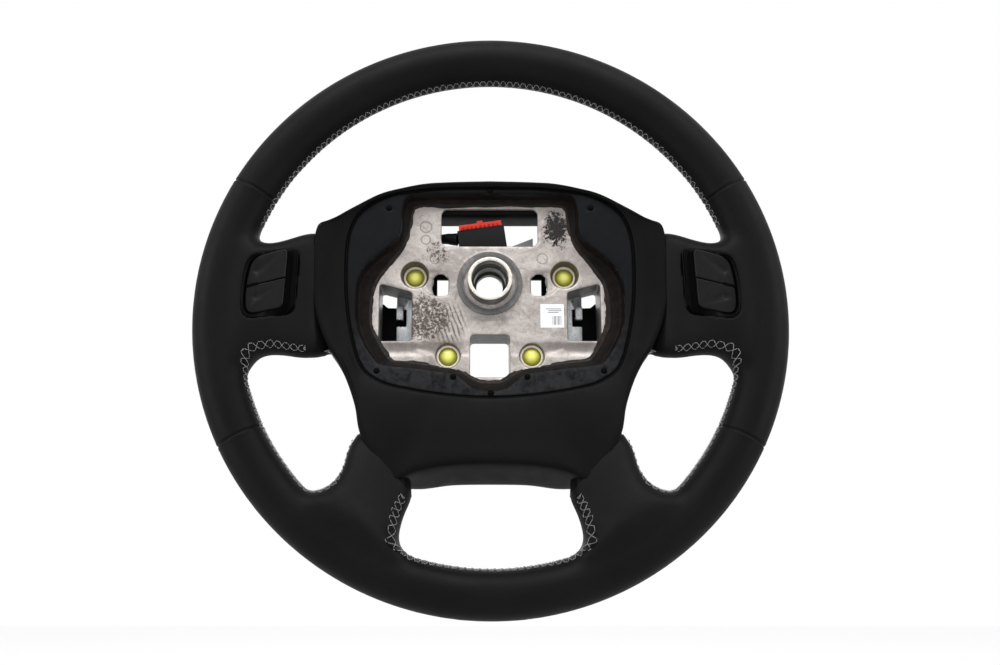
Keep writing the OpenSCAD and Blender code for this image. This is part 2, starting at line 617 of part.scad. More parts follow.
// The seam goes along the side spoke, round the rim and up the lower spoke
rim_step = 3;
open_top = 20;
open_side = -20;
open_low = -42;
open_bottom = -75;
side_corner = [rim_in_r - 17, -67.4];
low_corner = [109, -131.5];
bottom_corner = [46.8, -172.6];
seam_start = 0.2;
function first_frame(stations, end) =
    mixed(spoke_frame(stations[2], end), spoke_frame(stations[3], end), seam_start);
side_seam = concat(
    [first_frame(side_stations, 1)],
    [for (i = [3:5]) spoke_frame(side_stations[i], 1)],
    [for (w = [66, 40, 14, -8]) fillet_frame(side_corner, 9, w, side_half_t + 3.5)],
    [for (w = [open_side:-rim_step:open_low]) rim_frame(w)],
    [for (w = [-66, -95, -125, -150]) fillet_frame(low_corner, 11, w, low_half_t + 3.5)],
    [for (i = [4:-1:3]) spoke_frame(low_stations[i], 0)],
    [first_frame(low_stations, 0)]);
low_half_seam = concat(
    [first_frame(low_stations, 1)],
    [for (i = [3:4]) spoke_frame(low_stations[i], 1)],
    [for (w = [-4, -28, -52]) fillet_frame(bottom_corner, 9.4, w, low_half_t + 3.5)],
    [for (w = [open_bottom:-rim_step:-87]) rim_frame(w)]);
function mirrored(frames) = [for (i = [len(frames) - 1:-1:0]) let (f = frames[i])
    [-f[0], f[1], -f[2], f[3], f[4], f[5]]];
module stitching_top() color([0.62, 0.62, 0.62])
    thread([for (w = [open_top:rim_step - 0.02:180 - open_top]) rim_frame(w)]);
module stitching_right() color([0.62, 0.62, 0.62]) thread(side_seam);
module stitching_left() color([0.62, 0.62, 0.62]) mirror([1, 0, 0]) thread(side_seam);
module stitching_bottom() color([0.62, 0.62, 0.62])
    thread(concat(low_half_seam, mirrored(low_half_seam)));

// The switches
split_gap = 0.25;
function split_z(x) = split_in[1] + (x - split_in[0]) * (split_out[1] - split_in[1])
    / (split_out[0] - split_in[0]);
split_turn = atan2(split_out[1] - split_in[1], split_out[0] - split_in[0]);
pad_in_x = 132.1;
pad_out_x = pad_keys[2][0];
upper_keys = [pad_keys[0], pad_keys[1], [pad_out_x, split_z(pad_out_x) + split_gap],
    [pad_in_x, split_z(pad_in_x) + split_gap]];
lower_keys = [[pad_in_x, split_z(pad_in_x) - split_gap], [pad_out_x, split_z(pad_out_x) - split_gap],
    pad_keys[3], pad_keys[4], pad_keys[5], pad_keys[6]];
top_t = 1.6;
skirt_y = bezel_y - 1;
dome_h = 1.8;
mat_t = 0.8;
mat_y = board_y + board_t;
dome_y = mat_y + mat_t + dome_h;
stem_y = dome_y + button_travel + 0.2;
stem_r = 2.2;
hook_y = bezel_back - 0.3;
hook_out = 2.2;
hook_w = 6;
upper_hook = [132.6, 3];
lower_hook = [133.2, -15];
upper_mid = [146, 2];
lower_mid = [146, -19];
module fence(half, y_front, y_back) {
    translate([pad_out_x + 0.7, -y_back, split_z(pad_out_x + 0.7)]) rotate([90, 0, 0])
        rotate([0, 0, split_turn]) translate([-fence_l - half, -half, 0])
            cube([fence_l + half, 2 * half, y_front - y_back]);
}
module hook(x, z, w) {
    translate([x, -skirt_y - 1, z - w / 2]) cube([button_wall, skirt_y + 1 - hook_y + 1, w]);
    translate([x - hook_out, -hook_y, z - w / 2]) cube([button_wall + hook_out, 1, w]);
}
module button(keys, mid, hook_at, dot) {
    difference() {
        union() {
            difference() {
                prism(keys, pad_y, skirt_y);
                prism(inset(keys, button_wall), pad_y - top_t, skirt_y - over);
            }
            round_bar(mid[0], mid[1], stem_r, pad_y - top_t + 0.5, stem_y);
            hook(hook_at[0], hook_at[1], hook_w);
        }
        fence(fence_t / 2 + button_gap, pad_y + over, bezel_back - bezel_t);
        round_bar(dot[0], dot[1], dot_r, pad_y + over, pad_y - dot_depth);
    }
}
// A round dimple marks each button
dot_r = 2.3;
dot_depth = 0.4;
upper_dot = [151.8, -1.5];
lower_dot = [152, -20];
module upper_button() {
    button(upper_keys, upper_mid, upper_hook, upper_dot);
}
module lower_button() {
    button(lower_keys, lower_mid, lower_hook, lower_dot);
}
button_colour = [0.09, 0.09, 0.095];
module button_upper_right() color(button_colour) upper_button();
module button_lower_right() color(button_colour) lower_button();
module button_upper_left() color(button_colour) mirror([1, 0, 0]) upper_button();
module button_lower_left() color(button_colour) mirror([1, 0, 0]) lower_button();

module bezel() {
    difference() {
        prism(bezel_shape, bezel_y, bezel_back);
        prism(inset(pad_keys, -button_gap), bezel_y + over, bezel_back - over);
    }
    fence(fence_t / 2, pad_y - 0.3, bezel_back);
}
module switch_bezel_right() color([0.07, 0.07, 0.07]) bezel();
module switch_bezel_left() color([0.07, 0.07, 0.07]) mirror([1, 0, 0]) bezel();

housing_wall = 1.5;
module housing() {
    difference() {
        prism(bezel_shape, bezel_back, housing_back);
        prism(inset(bezel_keys, housing_wall), bezel_back + over, board_y);
        prism(inset(bezel_keys, 2 * housing_wall), board_y + over, housing_back + housing_wall);
    }
}
module switch_housing_right() color([0.12, 0.12, 0.12]) housing();
module switch_housing_left() color([0.12, 0.12, 0.12]) mirror([1, 0, 0]) housing();

module board() {
    prism(inset(bezel_keys, housing_wall + 0.1), board_y + board_t, board_y);
}
module switch_board_right() color([0.05, 0.3, 0.15]) board();
module switch_board_left() color([0.05, 0.3, 0.15]) mirror([1, 0, 0]) board();

module dome_mat() {
    prism(inset(bezel_keys, housing_wall + 1), mat_y + mat_t, mat_y);
    for (m = [upper_mid, lower_mid]) translate([m[0], -mat_y - mat_t, m[1]]) rotate([90, 0, 0])
        cylinder(h = dome_h, r1 = 4.2, r2 = 2.6, $fn = 32);
}
module dome_mat_right() color([0.8, 0.8, 0.78]) dome_mat();
module dome_mat_left() color([0.8, 0.8, 0.78]) mirror([1, 0, 0]) dome_mat();

// The pad's guides
plug_recess = 1.9;
plug_dome = 1.6;
module guide_sleeve(x, z, depth) {
    difference() {
        round_bar(x, z, guide_d / 2, face_y - depth, face_y - depth - guide_l);
        round_bar(x, z, plug_d / 2, face_y - depth + over, face_y - depth - guide_l - over);
    }
}
module guide_plug(x, z, depth) {
    front = face_y - depth - plug_recess;
    back = face_y - depth - guide_l;
    r = plug_d / 2;
    translate([x, -back, z]) rotate([90, 0, 0]) rotate_extrude($fn = 64)
        polygon([[0, 0], [r, 0], [r, front - back], [0.75 * r, front - back + 0.6 * plug_dome],
            [0.4 * r, front - back + 0.9 * plug_dome], [0, front - back + plug_dome]]);
}
sleeve_colour = [0.86, 0.83, 0.74];
plug_colour = [0.72, 0.72, 0.16];
module guide_sleeve_upper_left() color(sleeve_colour)
    guide_sleeve(-up_guide_x, up_guide_z, up_guide_depth);
module guide_sleeve_upper_right() color(sleeve_colour)
    guide_sleeve(up_guide_x, up_guide_z, up_guide_depth);
module guide_sleeve_lower_left() color(sleeve_colour)
    guide_sleeve(-low_guide_x, low_guide_z, low_guide_depth);
module guide_sleeve_lower_right() color(sleeve_colour)
    guide_sleeve(low_guide_x, low_guide_z, low_guide_depth);
module guide_plug_upper_left() color(plug_colour)
    guide_plug(-up_guide_x, up_guide_z, up_guide_depth);
module guide_plug_upper_right() color(plug_colour)
    guide_plug(up_guide_x, up_guide_z, up_guide_depth);
module guide_plug_lower_left() color(plug_colour)
    guide_plug(-low_guide_x, low_guide_z, low_guide_depth);
module guide_plug_lower_right() color(plug_colour)
    guide_plug(low_guide_x, low_guide_z, low_guide_depth);

// The spring clips that latch the pad, each bent from one strip of steel
clip_t = 1.2;
clip_y = -8;
clip_w = 10.8;
clip_leg = 6;
clip_edge = side_win[0][0] + clip_w;
clip_hole = [[clip_edge - 5.6, -24.6], [clip_edge + 1, -24.6], [clip_edge + 1, -12.2],
    [clip_edge - 5.6, -12.2]];
clip_tab = [[clip_edge - 3.8, -20.4], [clip_edge, -20.4], [clip_edge, -11], [clip_edge - 3.8, -11]];
clip_tab_h = 4;
module clip() {
    difference() {
        prism([[side_win[0][0], -40], [clip_edge, -40], [clip_edge, -5], [side_win[0][0], -7]],
            clip_y, clip_y - clip_t);
        prism(clip_hole, clip_y + over, clip_y - clip_t - over);
    }
    prism([[side_win[0][0], -40], [side_win[0][0] + clip_t, -40], [side_win[0][0] + clip_t, -8],
        [side_win[0][0], -8]], clip_y + clip_leg, clip_y - over / 2);
    prism(clip_tab, clip_y + clip_tab_h, clip_y - clip_t);
}
module latch_clip_right() color([0.72, 0.74, 0.76]) clip();
module latch_clip_left() color([0.72, 0.74, 0.76]) mirror([1, 0, 0]) clip();

// The leads, the connector and what is on them
lead_sides = 8;
lead_steps = 3;
module lead(route) {
    p = smooth(route, lead_steps);
    last = len(p) - 1;
    r = lead_d / 2;
    skin([for (i = [0:last]) let (t = p[min(i + 1, last)] - p[max(i - 1, 0)], u = t / norm(t),
        a = cross(u, [0, 1, 0]), n = a / norm(a), b = cross(u, n))
        [for (k = [0:lead_sides - 1]) let (w = 360 * k / lead_sides)
            p[i] + (n * cos(w) + b * sin(w)) * r]]);
}
module switch_lead_right() color([0.08, 0.08, 0.08]) lead(right_route);
module switch_lead_left() color([0.08, 0.08, 0.08]) lead(left_route);

lock_h = 3.4;
lock_w = plug_w - 3;
teeth = 10;
lock_lip = 1.2;
nub_w = 4;
nub_h = 1.6;
pins = 8;
pin_slot = [2.2, 6, 8];
pin_edge = 3.4;
module at_plug() {
    translate([plug_x, -plug_y, plug_z]) rotate([0, -plug_tilt, 0]) children();
}
module connector_housing() color([0.06, 0.06, 0.06]) {
    at_plug() difference() {
        translate([-plug_w / 2, 0, -plug_h / 2]) cube([plug_w, plug_t, plug_h]);
        for (k = [0:pins - 1]) translate([-plug_w / 2 + pin_edge
            + k * (plug_w - 2 * pin_edge - pin_slot[0]) / (pins - 1),
            (plug_t - pin_slot[1]) / 2, -plug_h / 2 - over]) cube(pin_slot);
    }
}
module connector_lock() color([0.75, 0.12, 0.08]) {
    at_plug() {
        translate([-lock_w / 2, 0, plug_h / 2]) cube([lock_w, plug_t - 2, lock_h]);
        for (k = [0:teeth - 1]) translate([-lock_w / 2 + (k + 0.25) * lock_w / teeth, -lock_lip,
            plug_h / 2 + 0.2]) cube([lock_w / teeth / 2, lock_lip + 0.1, 2]);
        translate([-lock_w / 2, -lock_lip, plug_h / 2 + 1.4]) cube([lock_w, lock_lip + 0.1,
            lock_h - 1.4]);
        translate([-nub_w / 2, -lock_lip, plug_h / 2 + lock_h - 0.2]) cube([nub_w, plug_t / 2,
            nub_h + 0.2]);
    }
}
// The tag lies behind the right lead
tag_t = 0.3;
tag_y = 3 - lead_d / 2 - 1.1;
module lead_tag() color([0.8, 0.8, 0.8]) {
    prism([[15, 21], [31, 25], [31, 38], [15, 31.5]], tag_y, tag_y - tag_t);
}
label_t = 0.12;
label_w = 16;
label_h = 16.4;
label_corner = [34.6, -31];
module paper_label() color([0.93, 0.93, 0.93]) {
    prism([for (k = [[0, 0], [label_w, 0], [label_w, label_h], [0, label_h]]) label_corner + k],
        face_y + label_t, face_y);
}

armature();
rim_core();
hub_sleeve();
rim_foam();
hub_shroud();
leather_top();
leather_left();
leather_right();
leather_bottom();
stitching_top();
stitching_left();
stitching_right();
stitching_bottom();
switch_bezel_left();
switch_bezel_right();
button_upper_left();
button_lower_left();
button_upper_right();
button_lower_right();
switch_housing_left();
switch_housing_right();
switch_board_left();
switch_board_right();
dome_mat_left();
dome_mat_right();
guide_sleeve_upper_left();
guide_sleeve_upper_right();
guide_sleeve_lower_left();
guide_sleeve_lower_right();
guide_plug_upper_left();
guide_plug_upper_right();
guide_plug_lower_left();
guide_plug_lower_right();
latch_clip_left();
latch_clip_right();
switch_lead_left();
switch_lead_right();
connector_housing();
connector_lock();
lead_tag();
paper_label();
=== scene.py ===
"""Looks of a leather-covered car steering wheel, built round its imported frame."""
import json
import math

import bmesh
import bpy
import numpy as np
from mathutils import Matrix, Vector
from mathutils.bvhtree import BVHTree

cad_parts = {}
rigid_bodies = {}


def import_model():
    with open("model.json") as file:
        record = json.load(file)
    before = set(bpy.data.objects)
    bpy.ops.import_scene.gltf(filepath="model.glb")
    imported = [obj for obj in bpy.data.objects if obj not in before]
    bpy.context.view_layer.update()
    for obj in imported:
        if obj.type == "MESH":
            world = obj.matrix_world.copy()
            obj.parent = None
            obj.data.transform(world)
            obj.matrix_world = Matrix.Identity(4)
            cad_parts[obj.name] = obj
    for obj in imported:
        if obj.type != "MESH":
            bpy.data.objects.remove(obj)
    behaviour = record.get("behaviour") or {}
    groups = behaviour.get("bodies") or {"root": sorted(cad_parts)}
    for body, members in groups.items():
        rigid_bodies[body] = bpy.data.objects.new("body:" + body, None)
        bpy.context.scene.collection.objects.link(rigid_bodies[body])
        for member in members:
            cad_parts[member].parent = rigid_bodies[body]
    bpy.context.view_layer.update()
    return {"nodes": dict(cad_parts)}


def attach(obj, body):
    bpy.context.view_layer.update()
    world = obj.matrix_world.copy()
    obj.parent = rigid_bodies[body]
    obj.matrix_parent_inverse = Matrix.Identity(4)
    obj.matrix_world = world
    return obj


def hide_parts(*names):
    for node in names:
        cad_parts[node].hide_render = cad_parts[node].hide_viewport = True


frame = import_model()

bl_info = {
    "name": "Car steering wheel",
    "version": (1, 0, 0),
    "blender": (4, 5, 0),
    "location": "3D View > Sidebar > Wheel",
    "description": "Builds the leather, thread, foam, casting and switches of a steering wheel",
    "category": "Add Mesh",
}

WHEEL = "wheel"
mm = 0.001


# Settings

def length(name, text, value):
    return bpy.props.FloatProperty(name=name, description=text, default=value, unit="LENGTH", precision=5)


def share(name, text, value):
    return bpy.props.FloatProperty(name=name, description=text, default=value, min=0, max=1)


def colour(name, text, value):
    return bpy.props.FloatVectorProperty(
        name=name, description=text, default=value, subtype="COLOR", size=3, min=0, max=1)


class RimSettings(bpy.types.PropertyGroup):
    outer: length("Outside diameter", "Outside diameter of the covered rim", 0.39)
    grip: length("Grip thickness", "Thickness of the rim's round section", 0.0314)
    rise: length("Hub rise", "Height of the hub bore above the rim's middle", 0.028)
    dish: length("Dish", "Distance of the rim's middle in front of the sleeve's rear face", 0.043)
    seam_up: bpy.props.FloatProperty(
        name="Upper seam", description="Angle of the upper leather seams", default=28)
    seam_low: bpy.props.FloatProperty(
        name="Lower seam", description="Angle of the lower leather seams", default=27)
    leather: length("Leather", "Thickness of the leather", 0.0011)
    voxel: length("Voxel", "Size of the leather's mesh", 0.0015)
    black: colour("Leather colour", "Colour of the leather", (0.0036, 0.0035, 0.0036))
    gloss: share("Leather roughness", "Roughness of the leather", 0.5)


class ThreadSettings(bpy.types.PropertyGroup):
    pitch: length("Pitch", "Length of one crossed stitch", 0.0047)
    thick: length("Thickness", "Thickness of the thread", 0.00046)
    silver: colour("Thread colour", "Colour of the thread", (0.20, 0.20, 0.205))


class ShroudSettings(bpy.types.PropertyGroup):
    skin: colour("Foam skin", "Colour of the hub shroud's skin", (0.0022, 0.0021, 0.0021))
    ledge: colour("Ledge", "Colour of the ledge the pad sits in", (0.0060, 0.0064, 0.0072))
    # Lighter colour of the ledge's lower side: painted light, with scuffs
    lower_light_and_scuff: colour("Worn ledge", "Colour of the ledge's scuffed lower side", (0.0185, 0.0190, 0.0200))
    rough: share("Skin roughness", "Roughness of the foam's skin", 0.46)
    flash: colour("Foam flash", "Colour of the flash of foam on the casting", (0.012, 0.0085, 0.007))


class CastSettings(bpy.types.PropertyGroup):
    pale: colour("Casting", "Colour of the clean casting", (0.455, 0.412, 0.388))
    dull: colour("Blotches", "Colour of the casting's blotches", (0.235, 0.205, 0.19))
    stain: colour("Stain", "Colour of the stains on the casting", (0.036, 0.020, 0.014))
    machined: colour("Machined face", "Colour of the machined boss", (0.145, 0.142, 0.14))
    # Pale colour of the chamfer inside the boss: a painted highlight
    bevel: colour("Bevel", "Colour of the bevel inside the boss", (0.60, 0.60, 0.60))
    sleeve: colour("Hub sleeve", "Colour of the sleeve's front ring", (0.74, 0.70, 0.62))
    # Dark colour of the sleeve's walls: painted shade on the same metal as its front ring
    bore: colour("Hub bore", "Colour of the sleeve's walls", (0.062, 0.062, 0.052))
    nylon: colour("Guide sleeve", "Colour of the guide sleeves", (0.74, 0.66, 0.55))
    plug: colour("Guide plug", "Colour of the guide plugs", (0.42, 0.42, 0.035))
    # Bright colour of the plugs' middles: a painted highlight on the dome
    glow: colour("Plug middle", "Colour of the middle of the guide plugs", (0.78, 0.76, 0.17))
    # Olive colour of the guides' recess walls: painted shade with a painted reflection of the yellow plugs
    cup: colour("Guide cup", "Colour of the walls of the guides' recesses", (0.125, 0.110, 0.060))
    clip: colour("Clip", "Colour of the latch clips", (0.55, 0.57, 0.58))


class SwitchSettings(bpy.types.PropertyGroup):
    button: colour("Button", "Colour of the buttons", (0.0048, 0.0048, 0.005))
    connector: colour("Connector", "Colour of the connector", (0.0045, 0.0045, 0.005))
    lock: colour("Lock", "Colour of the connector's lock", (0.62, 0.035, 0.02))
    tag: colour("Tag", "Colour of the lead's tag", (0.42, 0.44, 0.43))


class StageSettings(bpy.types.PropertyGroup):
    eye: bpy.props.FloatVectorProperty(
        name="Camera", description="Place of the camera", default=(-0.010, -0.6972, -0.1943),
        subtype="XYZ", unit="LENGTH")
    aim: bpy.props.FloatVectorProperty(
        name="Aim", description="Point the camera looks at", default=(-0.010, -0.043, -0.0408),
        subtype="XYZ", unit="LENGTH")
    lens: bpy.props.FloatProperty(name="Lens", description="Focal length in millimetres", default=37)
    shift: bpy.props.FloatProperty(name="Shift", description="Sideways shift of the lens", default=0.0248)
    floor: length("Floor", "Height of the floor", -0.42)
    level: bpy.props.FloatProperty(
        name="World light", description="Strength of the world's light", default=0.5)


class WheelSettings(bpy.types.PropertyGroup):
    rim: bpy.props.PointerProperty(type=RimSettings)
    thread: bpy.props.PointerProperty(type=ThreadSettings)
    shroud: bpy.props.PointerProperty(type=ShroudSettings)
    cast: bpy.props.PointerProperty(type=CastSettings)
    switch: bpy.props.PointerProperty(type=SwitchSettings)
    stage: bpy.props.PointerProperty(type=StageSettings)


def settings():
    return bpy.context.scene.wheel_settings


# Materials

class Finish:
    """A procedural material under construction."""

    def __init__(self, name):
        self.mat = bpy.data.materials.new(name)
        self.mat.use_nodes = True
        self.tree = self.mat.node_tree
        self.shader = self.tree.nodes["Principled BSDF"]
        self.place = self.tree.nodes.new("ShaderNodeTexCoord").outputs["Object"]

    def node(self, kind, **values):
        n = self.tree.nodes.new(kind)
        for key, value in values.items():
            if key in n.inputs:
                n.inputs[key].default_value = value
            else:
                setattr(n, key, value)
        return n

    def link(self, a, b):
        self.tree.links.new(a, b)

    def times(self, a, b):
        return self.math("MULTIPLY", a, b)

    def plus(self, a, b):
        return self.math("ADD", a, b)

    def most(self, values):
        """The largest of several values."""
        values = list(values)
        most = values[0]
        for value in values[1:]:
            most = self.math("MAXIMUM", most, value)
        return most

    def set(self, **values):
        for key, value in values.items():
            self.shader.inputs[key.replace("_", " ")].default_value = value

    def placed(self, kind, **values):
        """A node that reads the place on the object."""
        n = self.node(kind, **values)
        self.link(self.place, n.inputs["Vector"])
        return n

    def noise(self, scale, detail=4, rough=0.5, distortion=0):
        return self.placed("ShaderNodeTexNoise", Scale=scale, Detail=detail, Roughness=rough,
                           Distortion=distortion).outputs["Fac"]

    def cells(self, scale):
        return self.placed("ShaderNodeTexVoronoi", Scale=scale, feature="SMOOTH_F1").outputs["Distance"]

    def bands(self, scale):
        return self.placed("ShaderNodeTexWave", wave_type="BANDS", bands_direction="X", Scale=scale,
                           Distortion=0).outputs["Fac"]

    def attribute(self, name):
        return self.node("ShaderNodeAttribute", attribute_name=name).outputs["Fac"]

    def ramp(self, value, stops):
        n = self.node("ShaderNodeValToRGB")
        ramp = n.color_ramp
        while len(ramp.elements) < len(stops):
            ramp.elements.new(0.5)
        for element, (at, rgb) in zip(ramp.elements, stops):
            element.position = at
            element.color = (*rgb, 1)
        self.link(value, n.inputs["Fac"])
        return n.outputs["Color"]

    def step(self, value, low, high):
        n = self.node("ShaderNodeMapRange", interpolation_type="SMOOTHSTEP")
        n.inputs["From Min"].default_value = low
        n.inputs["From Max"].default_value = high
        self.link(value, n.inputs["Value"])
        return n.outputs["Result"]

    def scale_to(self, value, low, high, to_low, to_high):
        n = self.node("ShaderNodeMapRange")
        for key, v in (("From Min", low), ("From Max", high), ("To Min", to_low), ("To Max", to_high)):
            n.inputs[key].default_value = v
        self.link(value, n.inputs["Value"])
        return n.outputs["Result"]

    def math(self, operation, a, b=None):
        n = self.node("ShaderNodeMath", operation=operation)
        for i, v in enumerate((a, b)):
            if v is None:
                continue
            if isinstance(v, (int, float)):
                n.inputs[i].default_value = v
            else:
                self.link(v, n.inputs[i])
        return n.outputs["Value"]

    def mix(self, fac, a, b):
        n = self.node("ShaderNodeMix", data_type="RGBA")
        for key, v in ((0, fac), (6, a), (7, b)):
            if isinstance(v, (int, float)):
                n.inputs[key].default_value = v
            elif isinstance(v, bpy.types.NodeSocket):
                self.link(v, n.inputs[key])
            else:
                n.inputs[key].default_value = (*v, 1)
        return n.outputs[2]

    def spot(self, centre, size):
        """1 inside an ellipsoid round a point of the object, falling to 0 at its surface."""
        n = self.placed("ShaderNodeMapping", vector_type="TEXTURE")
        n.inputs["Location"].default_value = centre
        n.inputs["Scale"].default_value = size
        g = self.node("ShaderNodeTexGradient", gradient_type="SPHERICAL")
        self.link(n.outputs["Vector"], g.inputs["Vector"])
        return g.outputs["Fac"]

    def flat(self):
        """The place with its depth left out."""
        n = self.node("ShaderNodeVectorMath", operation="MULTIPLY")
        n.inputs[1].default_value = (1, 0, 1)
        self.link(self.place, n.inputs[0])
        return n.outputs["Vector"]

    def radius(self, x=0.0, z=0.0):
        """Distance from the line along the hub's axis through x and z (mm)."""
        n = self.node("ShaderNodeVectorMath", operation="DISTANCE")
        n.inputs[1].default_value = (x * mm, 0, z * mm)
        self.link(self.flat(), n.inputs[0])
        return n.outputs["Value"]

    def axis(self, name):
        return self.placed("ShaderNodeSeparateXYZ").outputs[name]

    def forward(self):
        """Distance in front of the sleeve's rear face."""
        return self.times(self.axis("Y"), -1)

    def ring_between(self, value, low, high):
        """1 in the middle of a range of the value, 0 outside it."""
        half = (high - low) / 2
        off = self.math("ABSOLUTE", self.math("SUBTRACT", value, low + half))
        return self.step(off, half, 0.3 * half)

    def ring(self, x, z, r, width):
        """1 on a circle round x and z (mm), falling to 0 within its width."""
        off = self.math("ABSOLUTE", self.math("SUBTRACT", self.radius(x, z), r * mm))
        return self.math("SUBTRACT", 1, self.step(off, 0.2 * width * mm, width * mm))

    def turned(self, angle):
        """The place turned round the hub's axis."""
        n = self.placed("ShaderNodeMapping", vector_type="TEXTURE")
        n.inputs["Rotation"].default_value = (0, angle, 0)
        return n.outputs["Vector"]

    def bump(self, height, distance, strength):
        n = self.node("ShaderNodeBump", Strength=strength, Distance=distance)
        self.link(height, n.inputs["Height"])
        self.link(n.outputs["Normal"], self.shader.inputs["Normal"])

    def to(self, value, socket):
        self.link(value, self.shader.inputs[socket])

    def rough_round(self, middle, scale, detail, under=0.05, over=0.06):
        """Roughness that wanders a little round its middle value."""
        return self.scale_to(self.noise(scale, detail), 0.3, 0.7, middle - under, middle + over)

    def skin_pores(self):
        self.bump(self.plus(self.noise(2300, 2, 0.7), self.times(self.cells(1500), 0.7)), 0.00007, 0.5)


def lighter(rgb, k):
    return tuple(min(1, c * k) for c in rgb)


finishes = {}


def finish(name, make, *args, **values):
    """The material of that name, made the first time it is asked for."""
    if name not in finishes:
        finishes[name] = make(name, *args, **values)
    return finishes[name]


def leather_finish(name):
    s = settings().rim
    f = Finish(name)
    f.set(IOR=1.46, Specular_IOR_Level=0.085)
    cloud = f.noise(22, 3)
    f.to(f.ramp(cloud, [(0.3, lighter(s.black, 0.85)), (0.7, lighter(s.black, 1.25))]), "Base Color")
    grain = f.cells(1150)
    fine = f.noise(2600, 3, 0.6)
    wrinkle = f.noise(260, 5, 0.62)
    height = f.plus(f.times(grain, 0.6), f.times(fine, 0.5))
    f.bump(f.plus(height, f.times(wrinkle, 0.8)), 0.00011, 0.55)
    f.to(f.rough_round(s.gloss, 60, 4), "Roughness")
    return f.mat


def thread_finish(name):
    s = settings().thread
    f = Finish(name)
    f.set(Roughness=0.5, Sheen_Weight=0.4, Sheen_Roughness=0.4, Specular_IOR_Level=0.4)
    twist = f.noise(900, 3)
    f.to(f.ramp(twist, [(0.3, lighter(s.silver, 0.6)), (0.7, lighter(s.silver, 1.25))]), "Base Color")
    uv = f.tree.nodes["Texture Coordinate"].outputs["UV"]
    wave = f.node("ShaderNodeTexWave", wave_type="BANDS", bands_direction="DIAGONAL", Scale=2.2)
    f.link(uv, wave.inputs["Vector"])
    f.bump(wave.outputs["Fac"], 0.00012, 0.8)
    return f.mat


def skin_colour(f, rgb):
    return f.ramp(f.noise(35, 4, 0.55), [(0.3, lighter(rgb, 0.9)), (0.7, lighter(rgb, 1.15))])


def foam_finish(name):
    s = settings().shroud
    f = Finish(name)
    f.set(Specular_IOR_Level=0.05)
    f.to(skin_colour(f, s.skin), "Base Color")
    f.skin_pores()
    f.to(f.rough_round(s.rough, 90, 3), "Roughness")
    return f.mat


def shroud_finish(name):
    """The skin of the hub shroud, with the paler ledge told from it by its height and place."""
    s = settings().shroud
    f = Finish(name)
    f.set(Specular_IOR_Level=0.062)
    zone = f.attribute("ledge")
    scuff = f.noise(160, 5, 0.7, distortion=0.6)
    ledge = f.ramp(scuff, [(0.3, lighter(s.ledge, 0.75)), (0.62, s.ledge), (0.8, lighter(s.ledge, 1.5))])
    # The ledge's lower side is painted lighter, as painted light falling there, broken up by the scuffs
    low = f.times(f.step(f.axis("Z"), -0.018, -0.062), f.step(scuff, 0.32, 0.6))
    base = f.mix(zone, skin_colour(f, s.skin), f.mix(low, ledge, s.lower_light_and_scuff))
    wall = f.attribute("wall")
    base = f.mix(wall, base, f.ramp(f.noise(210, 5, 0.7), [(0.35, (0.0035, 0.003, 0.003)), (0.7, s.flash)]))
    line = f.ring_between(f.forward(), 0.0258, 0.0268)
    broken = f.step(f.noise(75, 4, 0.7), 0.5, 0.6)
    pale = f.times(f.times(line, broken), f.times(wall, 0.75))
    base = f.mix(pale, base, (0.20, 0.18, 0.165))
    f.to(base, "Base Color")
    f.skin_pores()
    f.to(f.plus(f.rough_round(s.rough, 90, 3), f.times(zone, 0.05)), "Roughness")
    return f.mat


